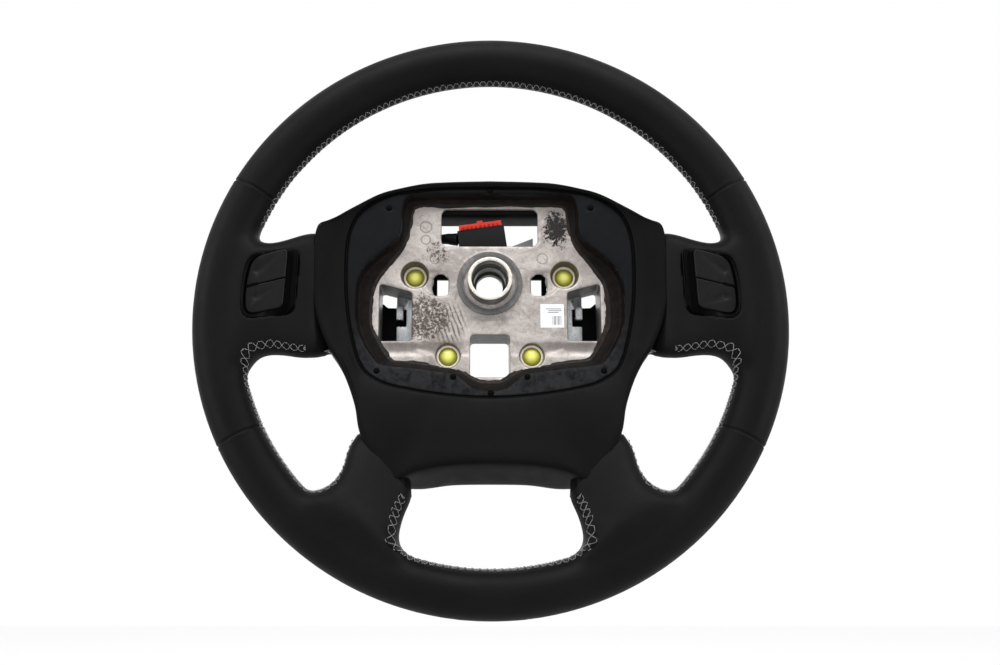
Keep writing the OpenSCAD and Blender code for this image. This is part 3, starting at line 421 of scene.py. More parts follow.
def cast_finish(name):
    """Die-cast alloy: pale pinkish grey, mottled, with brown stains, a black smear and darker walls."""
    s = settings().cast
    f = Finish(name)
    f.set(Metallic=0.3, Specular_IOR_Level=0.45)
    warm = f.noise(42, 8, 0.66, distortion=0.8)
    veins = f.noise(150, 8, 0.72, distortion=1.6)
    fine = f.noise(430, 8, 0.74, distortion=0.8)
    base = f.ramp(warm, [(0.32, lighter(s.dull, 1.15)), (0.45, lighter(s.pale, 0.80)), (0.55, s.pale),
                         (0.7, lighter(s.pale, 1.22))])
    base = f.mix(f.times(f.step(veins, 0.52, 0.66), 0.6), base, lighter(s.pale, 1.3))
    base = f.mix(f.times(f.step(veins, 0.46, 0.34), 0.7), base, s.dull)
    cloud = f.noise(19, 5, 0.6)
    base = f.mix(f.times(f.step(cloud, 0.5, 0.66), 0.38), base, lighter(s.dull, 0.9))
    base = f.mix(f.times(f.step(fine, 0.55, 0.66), 0.6), base, lighter(s.dull, 0.85))
    base = f.mix(f.times(f.step(fine, 0.42, 0.32), 0.6), base, lighter(s.pale, 1.5))
    # Painted shade in the hollows and below the side windows
    for centre, size, amount in PAINTED_SHADE_PATCHES:
        patch = f.step(f.spot(centre, size), 0, 0.6)
        base = f.mix(f.times(patch, amount), base, lighter(s.dull, 0.62))
    # Brown speckle left of the hub, in stripes towards its right
    stain = f.math("MAXIMUM", f.spot((-0.046, -0.016, -0.024), (0.026, 0.02, 0.022)),
                   f.times(f.spot((-0.036, -0.016, 0.022), (0.020, 0.02, 0.020)), 0.42))
    crumbs = f.noise(430, 8, 0.82, distortion=0.4)
    reach = f.plus(f.times(f.step(stain, 0, 0.5), 0.20), crumbs)
    mask = f.step(reach, 0.645, 0.69)
    stripes = f.node("ShaderNodeTexWave", wave_type="BANDS", bands_direction="X", Scale=105, Distortion=2.5)
    f.link(f.turned(-0.35), stripes.inputs["Vector"])
    right = f.spot((-0.028, -0.016, -0.028), (0.016, 0.02, 0.019))
    streak = f.times(f.step(right, 0.05, 0.5), f.step(stripes.outputs["Fac"], 0.5, 0.8))
    streak = f.times(streak, f.step(fine, 0.36, 0.5))
    stained = f.math("MAXIMUM", f.times(mask, 0.9), f.times(streak, 0.72))
    base = f.mix(stained, base, s.stain)
    # Small dark specks all over
    dots = f.step(f.noise(620, 4, 0.7), 0.64, 0.69)
    base = f.mix(f.times(dots, 0.6), base, lighter(s.stain, 1.2))
    # Rings left by the ejector pins
    rings = f.most(f.ring(x, z, radius, 0.75) for x, z, radius in MARKS)
    base = f.mix(f.times(rings, 0.5), base, lighter(s.dull, 0.7))
    # Black smear of foam at the upper right
    smear = f.spot((0.0465, -0.016, 0.040), (0.0135, 0.02, 0.019))
    holes = f.times(f.math("SUBTRACT", f.noise(260, 8, 0.82, distortion=0.5), 0.5), 3.0)
    smear_mask = f.step(f.plus(smear, holes), 0.42, 0.46)
    base = f.mix(smear_mask, base, (0.010, 0.008, 0.008))
    # Painted shade: the walls set back from the face are darkened, and those of the guides' recesses are
    # olive, painted shade with a painted reflection of the yellow plugs
    depth = f.forward()
    front = f.attribute("front")
    painted_wall_shade = f.math("MAXIMUM", f.step(depth, 0.0139, 0.0122), f.step(front, 0.75, 0.25))
    base = f.mix(painted_wall_shade, base, f.ramp(warm, [(0.35, (0.075, 0.073, 0.07)), (0.65, (0.15, 0.145, 0.14))]))
    cup_shade_and_reflection = f.most(f.step(f.radius(x, z), (radius + 0.55) * mm, (radius + 0.2) * mm)
                  for x, z, radius in GUIDES)
    cup_shade_and_reflection = f.times(cup_shade_and_reflection, f.step(depth, 0.0154, 0.0150))
    base = f.mix(cup_shade_and_reflection, base, s.cup)
    f.to(base, "Base Color")
    rough = f.scale_to(veins, 0.3, 0.7, 0.52, 0.36)
    rough = f.plus(rough, f.times(mask, 0.15))
    f.to(f.math("SUBTRACT", rough, f.times(smear_mask, 0.2)), "Roughness")
    dents = f.plus(f.times(warm, 1.2), f.times(fine, 0.35))
    dents = f.plus(dents, f.times(smear_mask, 0.7))
    dents = f.math("SUBTRACT", dents, f.times(rings, 0.8))
    f.bump(dents, 0.0007, 0.6)
    return f.mat


def metal_finish(name, rgb, rough, metallic):
    f = Finish(name)
    f.set(Metallic=metallic)
    cloud = f.noise(130, 5, 0.65)
    f.to(f.ramp(cloud, [(0.3, lighter(rgb, 0.68)), (0.55, rgb), (0.75, lighter(rgb, 1.2))]), "Base Color")
    f.to(f.rough_round(rough, 210, 4, 0.08, 0.12), "Roughness")
    f.bump(f.noise(380, 5, 0.7), 0.00003, 0.7)
    return f.mat


def turned_finish(name, zones, rough, metallic):
    """Metal with the fine rings that turning leaves. The function zones gives its colour."""
    f = Finish(name)
    f.set(Metallic=metallic, Specular_IOR_Level=0.3)
    base = zones(f)
    cloud = f.noise(95, 5, 0.65)
    base = f.mix(f.times(f.step(cloud, 0.5, 0.68), 0.3), base, (0.5, 0.49, 0.47))
    grime = f.step(f.noise(420, 5, 0.7), 0.52, 0.66)
    base = f.mix(f.times(grime, 0.35), base, (0.03, 0.028, 0.026))
    f.to(base, "Base Color")
    turns = f.placed("ShaderNodeTexWave", wave_type="RINGS", rings_direction="Y", Scale=900, Distortion=0.6)
    f.bump(turns.outputs["Fac"], 0.00002, 0.6)
    f.to(f.rough_round(rough, 300, 4, 0.07, 0.12), "Roughness")
    return f.mat


def boss_finish(name):
    s = settings().cast

    def zones(f):
        # The chamfer inside the boss is pale, a painted highlight on the machined metal
        return f.mix(f.step(f.radius(), 0.0185, 0.0188), s.bevel, s.machined)

    return turned_finish(name, zones, 0.36, 0.6)


def sleeve_finish(name):
    s = settings().cast

    def zones(f):
        # The sleeve's walls are darkened as painted shade; only its front ring keeps the pale colour
        return f.mix(f.step(f.forward(), 0.0290, 0.0294), s.bore, s.sleeve)

    return turned_finish(name, zones, 0.34, 0.4)


def plug_finish(name):
    s = settings().cast
    f = Finish(name)
    f.set(Specular_IOR_Level=0.4, Coat_Weight=0.4, Coat_Roughness=0.12, Roughness=0.35)
    core = f.attribute("core")
    # The dome is painted darker at its edge as painted shade and bright in its middle as a painted highlight
    f.to(f.ramp(core, [(0.0, lighter(s.plug, 0.55)), (0.25, s.plug), (0.75, s.glow)]), "Base Color")
    f.bump(f.noise(700, 3), 0.00002, 0.5)
    return f.mat


def plastic_finish(name, rgb, rough=0.4, grain=0.00003, clear=0.0, specular=0.3):
    f = Finish(name)
    f.set(Specular_IOR_Level=specular, Coat_Weight=clear)
    cloud = f.noise(120, 4, 0.6)
    f.to(f.ramp(cloud, [(0.3, lighter(rgb, 0.88)), (0.7, lighter(rgb, 1.1))]), "Base Color")
    f.to(f.rough_round(rough, 240, 3), "Roughness")
    f.bump(f.noise(2400, 3, 0.7), grain, 0.6)
    return f.mat


def label_finish(name):
    """White paper with plain grey bars and a block of upright bars, which say nothing."""
    f = Finish(name)
    f.set(Roughness=0.45, Specular_IOR_Level=0.4)
    x, z = f.axis("X"), f.axis("Z")

    def within(value, low, high):
        return f.times(f.math("GREATER_THAN", value, low), f.math("LESS_THAN", value, high))

    lines = ((-0.0183, 0.0385, 0.0488), (-0.0196, 0.0400, 0.0492), (-0.0209, 0.0395, 0.0470))
    ink = f.most(f.times(within(z, low, low + 0.0008), within(x, left, right))
                 for low, left, right in lines)
    ink = f.times(ink, 0.68)
    bars = f.step(f.plus(f.bands(340), f.times(f.bands(131), 0.6)), 0.74, 0.82)
    block = f.times(within(z, -0.0292, -0.0228), within(x, 0.0425, 0.0490))
    ink = f.math("MAXIMUM", ink, f.times(f.times(block, bars), 0.85))
    paper = f.ramp(f.noise(300, 3), [(0.3, (0.80, 0.81, 0.83)), (0.7, (0.86, 0.87, 0.89))])
    f.to(f.mix(ink, paper, (0.02, 0.02, 0.022)), "Base Color")
    f.bump(f.noise(1500, 3), 0.00001, 0.4)
    return f.mat


# Modelling helpers

def select_only(*objects):
    bpy.ops.object.select_all(action="DESELECT")
    for o in objects:
        o.select_set(True)
    bpy.context.view_layer.objects.active = objects[0]


def new_object(name, vertices, faces):
    mesh = bpy.data.meshes.new(name)
    mesh.from_pydata([tuple(v) for v in vertices], [], [tuple(f) for f in faces])
    mesh.update()
    o = bpy.data.objects.new(name, mesh)
    bpy.context.scene.collection.objects.link(o)
    return o


def settle(o):
    """Puts the object's place into its mesh."""
    select_only(o)
    bpy.ops.object.transform_apply(location=True, rotation=True, scale=True)
    return o


def apply(o, kind, **values):
    select_only(o)
    m = o.modifiers.new(kind.title(), kind)
    for key, value in values.items():
        setattr(m, key, value)
    bpy.ops.object.modifier_apply(modifier=m.name)
    return o


def joined(first, *others):
    select_only(first, *others)
    bpy.ops.object.join()
    return first


def recalculated(o):
    select_only(o)
    bpy.ops.object.mode_set(mode="EDIT")
    bpy.ops.mesh.select_all(action="SELECT")
    bpy.ops.mesh.normals_make_consistent(inside=False)
    bpy.ops.object.mode_set(mode="OBJECT")
    return o


def smooth_shade(o, angle=40):
    select_only(o)
    bpy.ops.object.shade_smooth_by_angle(angle=math.radians(angle))
    return o


def finished(o, material, slot, *nodes, body=WHEEL):
    o.data.materials.clear()
    o.data.materials.append(material)
    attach(o, body)
    if nodes:
        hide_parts(*nodes)
    return o


def cad_copy(node, name):
    """A merged copy of a CAD node, without its UV maps and custom normals."""
    source = frame["nodes"][node]
    o = bpy.data.objects.new(name, source.data.copy())
    o.data.materials.clear()
    bpy.context.scene.collection.objects.link(o)
    o.data.validate()
    bm = bmesh.new()
    bm.from_mesh(o.data)
    bmesh.ops.remove_doubles(bm, verts=bm.verts, dist=0.00001)
    bm.to_mesh(o.data)
    bm.free()
    for layer in list(o.data.uv_layers):
        o.data.uv_layers.remove(layer)
    if "custom_normal" in o.data.attributes:
        o.data.attributes.remove(o.data.attributes["custom_normal"])
    return o


def eased(node, name, width, segments=2, angle=32):
    """A copy of a hard CAD node with its edges eased, as moulding or turning leaves them."""
    o = cad_copy(node, name)
    bm = bmesh.new()
    bm.from_mesh(o.data)
    bmesh.ops.dissolve_limit(bm, angle_limit=math.radians(0.6), verts=bm.verts, edges=bm.edges)
    bm.to_mesh(o.data)
    bm.free()
    apply(o, "BEVEL", width=width, segments=segments, limit_method="ANGLE", angle_limit=math.radians(angle),
          use_clamp_overlap=True, miter_outer="MITER_ARC", harden_normals=False)
    apply(o, "TRIANGULATE")
    return smooth_shade(o, 38)


def points_of(o):
    a = np.empty(len(o.data.vertices) * 3)
    o.data.vertices.foreach_get("co", a)
    return a.reshape(-1, 3)


def set_points(o, a):
    o.data.vertices.foreach_set("co", np.ascontiguousarray(a, dtype=np.float32).ravel())
    o.data.update()


def relaxed(o, weight, times):
    """Moves each point halfway to the mean of its neighbours, times its weight."""
    p = points_of(o)
    e = np.empty(len(o.data.edges) * 2, dtype=np.int32)
    o.data.edges.foreach_get("vertices", e)
    e = e.reshape(-1, 2)
    count = np.bincount(e.ravel(), minlength=len(p))[:, None]
    w = weight[:, None] * 0.5
    for _ in range(times):
        total = np.zeros_like(p)
        for axis in range(3):
            total[:, axis] = (np.bincount(e[:, 0], p[e[:, 1], axis], len(p))
                              + np.bincount(e[:, 1], p[e[:, 0], axis], len(p)))
        p = p + (total / np.maximum(count, 1) - p) * w
    set_points(o, p)
    return p


def loft(name, rings, closed_path=False):
    """Joins rings of equal length with quads, and closes the ends unless the path itself is closed."""
    m = len(rings[0])
    points = [p for ring in rings for p in ring]
    faces = []
    rows = len(rings) if closed_path else len(rings) - 1
    for r in range(rows):
        a, b = r * m, ((r + 1) % len(rings)) * m
        for k in range(m):
            n = (k + 1) % m
            faces.append((a + k, a + n, b + n, b + k))
    if not closed_path:
        faces.append(tuple(range(m - 1, -1, -1)))
        last = (len(rings) - 1) * m
        faces.append(tuple(range(last, last + m)))
    return new_object(name, points, faces)


def between(a, b, c, d, t):
    """The point at t between b and c, on a smooth curve past a and d."""
    return 0.5 * (2 * b + (c - a) * t + (2 * a - 5 * b + 4 * c - d) * t * t
                  + (3 * b - a - 3 * c + d) * t ** 3)


def curve_through(keys, steps):
    """A smooth curve through the keys, which holds them all."""
    keys = [np.array(k, dtype=float) for k in keys]
    last = len(keys) - 1
    out = []
    for i in range(last):
        a, b, c, d = keys[max(i - 1, 0)], keys[i], keys[i + 1], keys[min(i + 2, last)]
        out += [between(a, b, c, d, k / steps) for k in range(steps)]
    out.append(keys[last])
    return out


def unit(v):
    v = np.array(v, dtype=float)
    return v / max(np.linalg.norm(v), 1e-12)


# Shape of the spokes: opening edge points a and b in x and z, half thickness, distance in front (mm)

def side_stations(s):
    in_r = (s.outer / 2 - s.grip) / mm
    d = s.dish / mm
    return [
        (97, 32.6, 97, -50, 8.4, 17.5), (108, 33, 108, -52, 8.8, 21.4), (113, 33.5, 113, -54, 10, 24),
        (119, 33.2, 119, -55.5, 11.2, 27.3), (126, 31, 126, -55.6, 11.6, 30.6),
        (134, 26.5, 134, -55.5, 12.4, d - 8), (142, 22.5, 142, -55.3, 13.4, d - 4.2),
        (in_r - 14.5, 20.4, in_r - 14.5, -56.8, 14.2, d - 1.6),
        (in_r - 9.5, 21.6, in_r - 9.5, -61, 14.9, d - 0.4),
        (in_r - 5.5, 27, in_r - 5.5, -68, 15.2, d), (in_r + 0.5, 28, in_r + 0.5, -70, 14.5, d),
        (in_r + 12.2, 24, in_r + 12.2, -66, 12, d)]


def low_stations(s):
    d = s.dish / mm
    return [
        (68, -80, 47, -104, 8, 20), (76, -90.5, 49.5, -117, 8.5, 23.4), (84, -101.6, 50.8, -136.6, 10, 27.4),
        (88, -106, 50, -147, 11, 29.3), (92.7, -116.6, 54, -156.3, 11.8, 33),
        (94.3, -127, 56.7, -165.7, 12.8, d - 6.5), (98.6, -135.6, 57.8, -174, 13.8, d - 3),
        (106, -142, 56, -179, 14.7, d - 0.8), (117, -145, 50, -185, 15.2, d),
        (124, -149, 50, -193, 14.5, d), (122, -162, 62, -198, 12, d)]


def station_section(s):
    """A spoke's section at a station: two round edges joined by slightly crowned faces."""
    around, flat, crown = 16, 8, 1.0
    a, b = np.array(s[0:2], float), np.array(s[2:4], float)
    u = unit(b - a)
    h = s[4]
    ca, cb = a + u * h, b - u * h
    ring = []
    for c, d, start, face in ((ca, cb, 90, 1), (cb, ca, -90, -1)):
        for k in range(around + 1):
            w = math.radians(start + 180 * k / around)
            across, deep = math.cos(w), math.sin(w)
            ring.append((c[0] + u[0] * h * across, -s[5] - h * deep, c[1] + u[1] * h * across))
        for k in range(1, flat):
            t = k / flat
            q = c + (d - c) * t
            ring.append((q[0], -s[5] + face * h + face * crown * math.sin(math.pi * t), q[1]))
    return [tuple(v * mm for v in p) for p in ring]


def spoke_solid(name, stations, side):
    rows = curve_through(stations, 3)
    rings = [[(side * x, y, z) for x, y, z in station_section(r)] for r in rows]
    o = loft(name, rings)
    return recalculated(o)


def cut_corners(keys, c):
    """A closed outline with its corners rounded off."""
    out = []
    for i, p in enumerate(keys):
        p = np.array(p, float)
        a, b = np.array(keys[i - 1], float), np.array(keys[(i + 1) % len(keys)], float)
        out += [p + (a - p) * c / np.linalg.norm(a - p),
                p + (a + b - 2 * p) * 0.27 * c / np.linalg.norm(a + b - 2 * p),
                p + (b - p) * c / np.linalg.norm(b - p)]
    return out


def outline_distance(points, outline):
    """Signed distance of 2-D points from a closed outline, below 0 inside, and the nearest points on it."""
    best = np.full(len(points), 1e9)
    near = np.zeros_like(points)
    inside = np.zeros(len(points), bool)
    for i in range(len(outline)):
        a, b = np.array(outline[i - 1]), np.array(outline[i])
        ab = b - a
        t = np.clip(((points - a) @ ab) / (ab @ ab), 0, 1)
        q = a + t[:, None] * ab
        d = np.linalg.norm(points - q, axis=1)
        closer = d < best
        best[closer] = d[closer]
        near[closer] = q[closer]
        cross = (a[1] > points[:, 1]) != (b[1] > points[:, 1])
        with np.errstate(divide="ignore", invalid="ignore"):
            at = (b[0] - a[0]) * (points[:, 1] - a[1]) / (b[1] - a[1]) + a[0]
        inside ^= cross & (points[:, 0] < at)
    return np.where(inside, -best, best), near


def rim_angle(p, s):
    """The angle of points round the rim's middle, from the right (degrees)."""
    return np.degrees(np.arctan2(p[..., 2] + s.rise, p[..., 0]))


# Outline round the two buttons of the right pod, in x and z (mm)
PAD = [(133.7, 12.2), (135.2, 12.5), (142, 10.9), (149.8, 8.4), (153.6, 6.3), (156.2, 2.6), (157.5, -2.5),
       (158.5, -9), (159.0, -16), (159.0, -23), (158.3, -27.6), (156.2, -30.1), (152.4, -30.4),
       (146, -29.0), (139, -27.4), (136.6, -26.7), (135.0, -25.2), (134.4, -22.4), (134.0, -14),
       (133.5, -4), (133.1, 5), (133.0, 10.8)]


def pod_ring(grow=0.0):
    """A smooth curve through the pod's outline, moved out by a distance (mm)."""
    n, steps = len(PAD), 4
    p = np.array(PAD, float)
    ring = np.array([between(p[i - 1], p[i], p[(i + 1) % n], p[(i + 2) % n], k / steps)
                     for i in range(n) for k in range(steps)])
    tangent = np.roll(ring, -1, 0) - np.roll(ring, 1, 0)
    tangent /= np.linalg.norm(tangent, axis=1)[:, None]
    return ring + grow * np.stack([-tangent[:, 1], tangent[:, 0]], 1)


def pod_edge(grow):
    """The foot of the pod's wall, which stands further out towards the hub and below."""
    p = pod_ring(grow)
    p[:, 0] -= 4.4 * np.clip((142 - p[:, 0]) / 9, 0, 1)
    p[:, 1] -= 1.7 * np.clip((-24 - p[:, 1]) / 4, 0, 1)
    return p


def wheel_skin():
    """The smooth outside of the covered rim and spokes, in one mesh."""
    s = settings().rim
    tube = s.grip / 2
    ring = s.outer / 2 - tube
    bpy.ops.object.select_all(action="DESELECT")
    bpy.ops.mesh.primitive_torus_add(
        location=(0, -s.dish, -s.rise), rotation=(math.pi / 2, 0, 0), major_segments=288, minor_segments=56,
        major_radius=ring, minor_radius=tube + 0.0002)
    o = settle(bpy.context.active_object)
    spokes = []
    for side in (1, -1):
        spokes.append(spoke_solid("side", side_stations(s), side))
        spokes.append(spoke_solid("low", low_stations(s), side))
    joined(o, *spokes)
    apply(o, "REMESH", mode="VOXEL", voxel_size=s.voxel, adaptivity=0)
    p = points_of(o)
    out = np.hypot(p[:, 0], p[:, 2] + s.rise)
    angle = rim_angle(p, s)
    beside = (np.abs(angle) < 38) | (angle < -38) & (angle > -142) | (np.abs(angle) > 142)
    near_spoke = beside & (out < ring + tube * 0.7)
    weight = np.where(near_spoke, 1.0, 0.35)
    relaxed(o, weight, 26)
    p = relaxed(o, np.where(out < ring - tube + 0.004, 1.0, 0.3), 10)
    # The recess that each switch pod sits in, with the leather rolled over its edge
    pod = pod_edge(1.0) * mm
    for side in (1, -1):
        outline = pod * [side, 1]
        front = (p[:, 1] < -0.030) & (p[:, 0] * side > 0.11)
        index = np.nonzero(front)[0]
        flat = p[index][:, [0, 2]]
        d, near = outline_distance(flat, outline)
        snap = np.abs(d) < 0.0008
        moved = p[index]
        moved[snap, 0], moved[snap, 2] = near[snap, 0], near[snap, 1]
        d = np.where(snap, 0, d)
        roll = 0.0022
        over = np.clip(roll - d, 0, roll)
        sunk = roll * 0.62 - 0.62 * np.sqrt(np.maximum(roll ** 2 - over ** 2, 0))
        moved[:, 1] += np.where(d >= 0, sunk, 0)
        moved[d < 0, 1] = -0.0385
        p[index] = moved
    set_points(o, p)
    return o


# Where the leather ends under the hub shroud: x on the side spokes, and a point
# in x and z on the lower ones (m)
SIDE_TRIM = 0.1105
LOW_TRIM = (0.0870, -0.1052)


def leather_pieces():
    """Cuts the skin at the seams and at the trim lines, and gives each piece its thickness."""
    s = settings().rim
    skin = wheel_skin()
    bm = bmesh.new()
    bm.from_mesh(skin.data)
    centre = Vector((0, -s.dish, -s.rise))
    in_r = s.outer / 2 - s.grip
    seams = [s.seam_up, 180 - s.seam_up, -s.seam_low, 180 + s.seam_low]
    for angle in seams:
        w = math.radians(angle)
        away = Vector((math.cos(w), 0, math.sin(w)))
        along = Vector((-math.sin(w), 0, math.cos(w)))
        for step in (-2.0, -1.3, -0.8, -0.4, 0, 0.4, 0.8, 1.3, 2.0):
            near = [f for f in bm.faces
                    if (f.calc_center_median() - centre).dot(away) > in_r - 0.004
                    and abs((f.calc_center_median() - centre).dot(along)) < 0.006]
            geom = near + list({e for f in near for e in f.edges})
            geom += list({v for f in near for v in f.verts})
            bmesh.ops.bisect_plane(bm, geom=geom, plane_co=centre + along * step * mm, plane_no=along,
                                   dist=1e-7)
    for side in (1, -1):
        bmesh.ops.bisect_plane(bm, geom=bm.verts[:] + bm.edges[:] + bm.faces[:],
                               plane_co=(side * SIDE_TRIM, 0, 0), plane_no=(side, 0, 0), dist=1e-7)
        bmesh.ops.bisect_plane(bm, geom=bm.verts[:] + bm.edges[:] + bm.faces[:],
                               plane_co=(side * LOW_TRIM[0], 0, LOW_TRIM[1]), plane_no=low_cut_normal(side),
                               dist=1e-7)
    gone = []
    for f in bm.faces:
        c = f.calc_center_median()
        if c.z > -0.075 and abs(c.x) < SIDE_TRIM:
            if (c - centre).length < in_r - 0.02 and abs(c.y) < 0.046:
                gone.append(f)
        elif c.z <= -0.075:
            side = 1 if c.x > 0 else -1
            from_trim = c - Vector((side * LOW_TRIM[0], 0, LOW_TRIM[1]))
            if from_trim.dot(Vector(low_cut_normal(side))) < 0 and abs(c.x) > 0.03:
                if (Vector((c.x, 0, c.z)) - Vector((0, 0, -s.rise))).length < in_r - 0.012:
                    gone.append(f)
    bmesh.ops.delete(bm, geom=gone, context="FACES")
    for v in bm.verts:
        r = v.co - centre
        out = math.hypot(r.x, r.z)
        if out < in_r - 0.004:
            continue
        angle = math.degrees(math.atan2(r.z, r.x))
        for seam in seams:
            w = math.radians(seam)
            t = r.dot(Vector((-math.sin(w), 0, math.cos(w))))
            if abs(t) < 0.0022 and r.dot(Vector((math.cos(w), 0, math.sin(w)))) > 0:
                u = Vector((r.x, 0, r.z)).normalized()
                tube_centre = centre + u * (s.outer / 2 - s.grip / 2)
                inward = (tube_centre - v.co).normalized()
                groove = 0.00075 * math.exp(-(t / 0.00075) ** 2)
                swell = 0.00012 * math.exp(-((abs(t) - 0.0016) / 0.0006) ** 2)
                v.co += inward * (groove - swell)
    bm.to_mesh(skin.data)
    bm.free()
    pieces = {}
    for name in ("leather_top", "leather_right", "leather_left", "leather_bottom"):
        o = skin.copy()
        o.data = skin.data.copy()
        bpy.context.scene.collection.objects.link(o)
        o.name = "cover_" + name.split("_")[1]
        bm = bmesh.new()
        bm.from_mesh(o.data)
        drop = [f for f in bm.faces if region(f.calc_center_median(), s, in_r) != name]
        bmesh.ops.delete(bm, geom=drop, context="FACES")
        bm.to_mesh(o.data)
        bm.free()
        apply(o, "SOLIDIFY", thickness=s.leather, offset=-1, use_rim=True, use_even_offset=False)
        smooth_shade(o, 45)
        pieces[name] = o
    bpy.data.objects.remove(skin)
    return pieces


def low_cut_normal(side):
    """The way out of the hub across the trim line of a lower spoke."""
    d = unit((50 - 88, -147 + 106))
    return (side * -d[1], 0, d[0])


def region(c, s, in_r):
    """The leather piece that a point of the skin belongs to."""
    out = math.hypot(c.x, c.z + s.rise)
    angle = math.degrees(math.atan2(c.z + s.rise, c.x))
    if out < in_r - 0.004:
        if c.z < -0.085:
            return "leather_bottom"
        return "leather_right" if c.x > 0 else "leather_left"
    if s.seam_up < angle < 180 - s.seam_up:
        return "leather_top"
    if -180 + s.seam_low < angle < -s.seam_low:
        return "leather_bottom"
    return "leather_right" if c.x > 0 else "leather_left"


# Seams. A frame holds the edge's middle in x and z, its way out, its radius, its depth and two row angles

MIRROR = np.array([-1, 1, -1, 1, 1, 1, 1, 1], float)


def edge_frame(x, z, ox, oz, h, d, low, high):
    """A place on an edge that a seam follows."""
    return np.array([x, z, ox, oz, h, d, low, high], float)


def rim_frame(w, s, low=-11, high=15):
    a = math.radians(w)
    r = (s.outer - s.grip) / 2 / mm
    return edge_frame(r * math.cos(a), r * math.sin(a) - s.rise / mm, -math.cos(a), -math.sin(a),
                      s.grip / 2 / mm, s.dish / mm, low, high)


def spoke_frame(row, end, low, high):
    a, b = np.array(row[0:2], float), np.array(row[2:4], float)
    u = unit(b - a)
    c, d = (a + u * row[4], -u) if end == 0 else (b - u * row[4], u)
    return edge_frame(c[0], c[1], d[0], d[1], row[4], row[5], low, high)


def corner_frame(c, r, w, h, s, low, high):
    a = math.radians(w)
    return edge_frame(c[0] + (r + h) * math.cos(a), c[1] + (r + h) * math.sin(a), -math.cos(a), -math.sin(a),
                      h, s.dish / mm, low, high)


def blended(a, b, t):
    return a * (1 - t) + b * t


def seam_frames(s):
    side, low = side_stations(s), low_stations(s)
    in_r = (s.outer / 2 - s.grip) / mm
    top = [rim_frame(w, s) for w in np.arange(21, 159.1, 3)]
    right = [blended(spoke_frame(side[3], 1, 44, 66), spoke_frame(side[4], 1, 44, 66), 0.35)]
    right += [spoke_frame(side[i], 1, 43, 65) for i in (4, 5, 6)]
    for w, a, b in ((66, 40, 62), (40, 30, 56), (14, 16, 42), (-8, 0, 26)):
        right.append(corner_frame((in_r - 15, -66.2), 9, w, 14.7, s, a, b))
    right += [rim_frame(w, s, -9, 16) for w in np.arange(-20, -39.1, -3)]
    right += [rim_frame(-42, s, -4, 21)]
    for w, a, b in ((-66, 4, 30), (-95, 8, 34), (-125, 8, 32), (-150, 4, 28)):
        right.append(corner_frame((109, -131.5), 11, w, 14.5, s, a, b))
    right += [spoke_frame(low[i], 0, 0, 24) for i in (5, 4)]
    right.append(blended(spoke_frame(low[3], 0, 0, 24), spoke_frame(low[4], 0, 0, 24), 0.35))
    half = [blended(spoke_frame(low[3], 1, 45, 72), spoke_frame(low[4], 1, 45, 72), 0.4)]
    half += [spoke_frame(low[i], 1, a, b) for i, a, b in ((4, 44, 74), (5, 42, 72))]
    for w, a, b in ((-4, 36, 64), (-28, 26, 54), (-52, 14, 42)):
        half.append(corner_frame((47.5, -173.5), 9.4, w, 14.5, s, a, b))
    for w, a, b in ((-75, 2, 30), (-79, -4, 24), (-84, -6, 22), (-90, -6, 22)):
        half.append(rim_frame(w, s, a, b))
    return top, right, half + [f * MIRROR for f in reversed(half[:-1])]


def frame_point(f, w):
    w = math.radians(w)
    o = unit((f[2], f[3]))
    out = np.array((o[0] * math.cos(w), -math.sin(w), o[1] * math.cos(w)))
    return np.array((f[0], -f[5], f[1])) * mm, out, f[4] * mm


def walked(frames, pitch):
    """Frames at every quarter stitch along the seam."""
    def edge(f):
        o = unit((f[2], f[3]))
        return np.array((f[0] + o[0] * f[4] * 0.9, f[1] + o[1] * f[4] * 0.9))
    dense = []
    for a, b in zip(frames, frames[1:]):
        for k in range(24):
            dense.append(blended(a, b, k / 24))
    dense.append(frames[-1])
    at = [0.0]
    for a, b in zip(dense, dense[1:]):
        at.append(at[-1] + float(np.linalg.norm(edge(b) - edge(a))))
    units = max(4, round(at[-1] * mm / pitch))
    out = []
    targets = np.linspace(0, at[-1], units * 4 + 1)
    for t in targets:
        i = min(int(np.searchsorted(at, t, "right")) - 1, len(dense) - 2)
        gap = max(at[i + 1] - at[i], 1e-9)
        out.append(blended(dense[i], dense[i + 1], (t - at[i]) / gap))
    return out, units


def tube(points, r, sides, verts, faces, uvs):
    """Adds a closed tube along the points to the lists."""
    p = [np.array(q) for q in points]
    start = len(verts)
    n = len(p)
    side = None
    travelled = 0.0
    for i in range(n):
        t = unit(p[min(i + 1, n - 1)] - p[max(i - 1, 0)])
        if side is None:
            side = unit(np.cross(t, (0.3, 1, 0.2)))
        side = unit(side - t * (side @ t))
        up = np.cross(t, side)
        if i:
            travelled += float(np.linalg.norm(p[i] - p[i - 1]))
        for k in range(sides):
            a = 2 * math.pi * k / sides
            verts.append(p[i] + (side * math.cos(a) + up * math.sin(a)) * r)
            uvs.append((k / sides, travelled / (r * 6)))
    for i in range(n - 1):
        for k in range(sides):
            a, b = start + i * sides, start + (i + 1) * sides
            m = (k + 1) % sides
            faces.append((a + k, b + k, b + m, a + m))
    faces.append(tuple(start + k for k in range(sides)))
    faces.append(tuple(start + (n - 1) * sides + k for k in range(sides - 1, -1, -1)))


def surface_at(tree, f, w, lift):
    centre, out, h = frame_point(f, w)
    start = centre + out * (h + 0.009)
    hit, _, _, distance = tree.ray_cast(Vector(start), Vector(-out))
    if hit is None or distance > 0.02:
        return centre + out * (h + lift)
    return np.array(hit) + out * lift


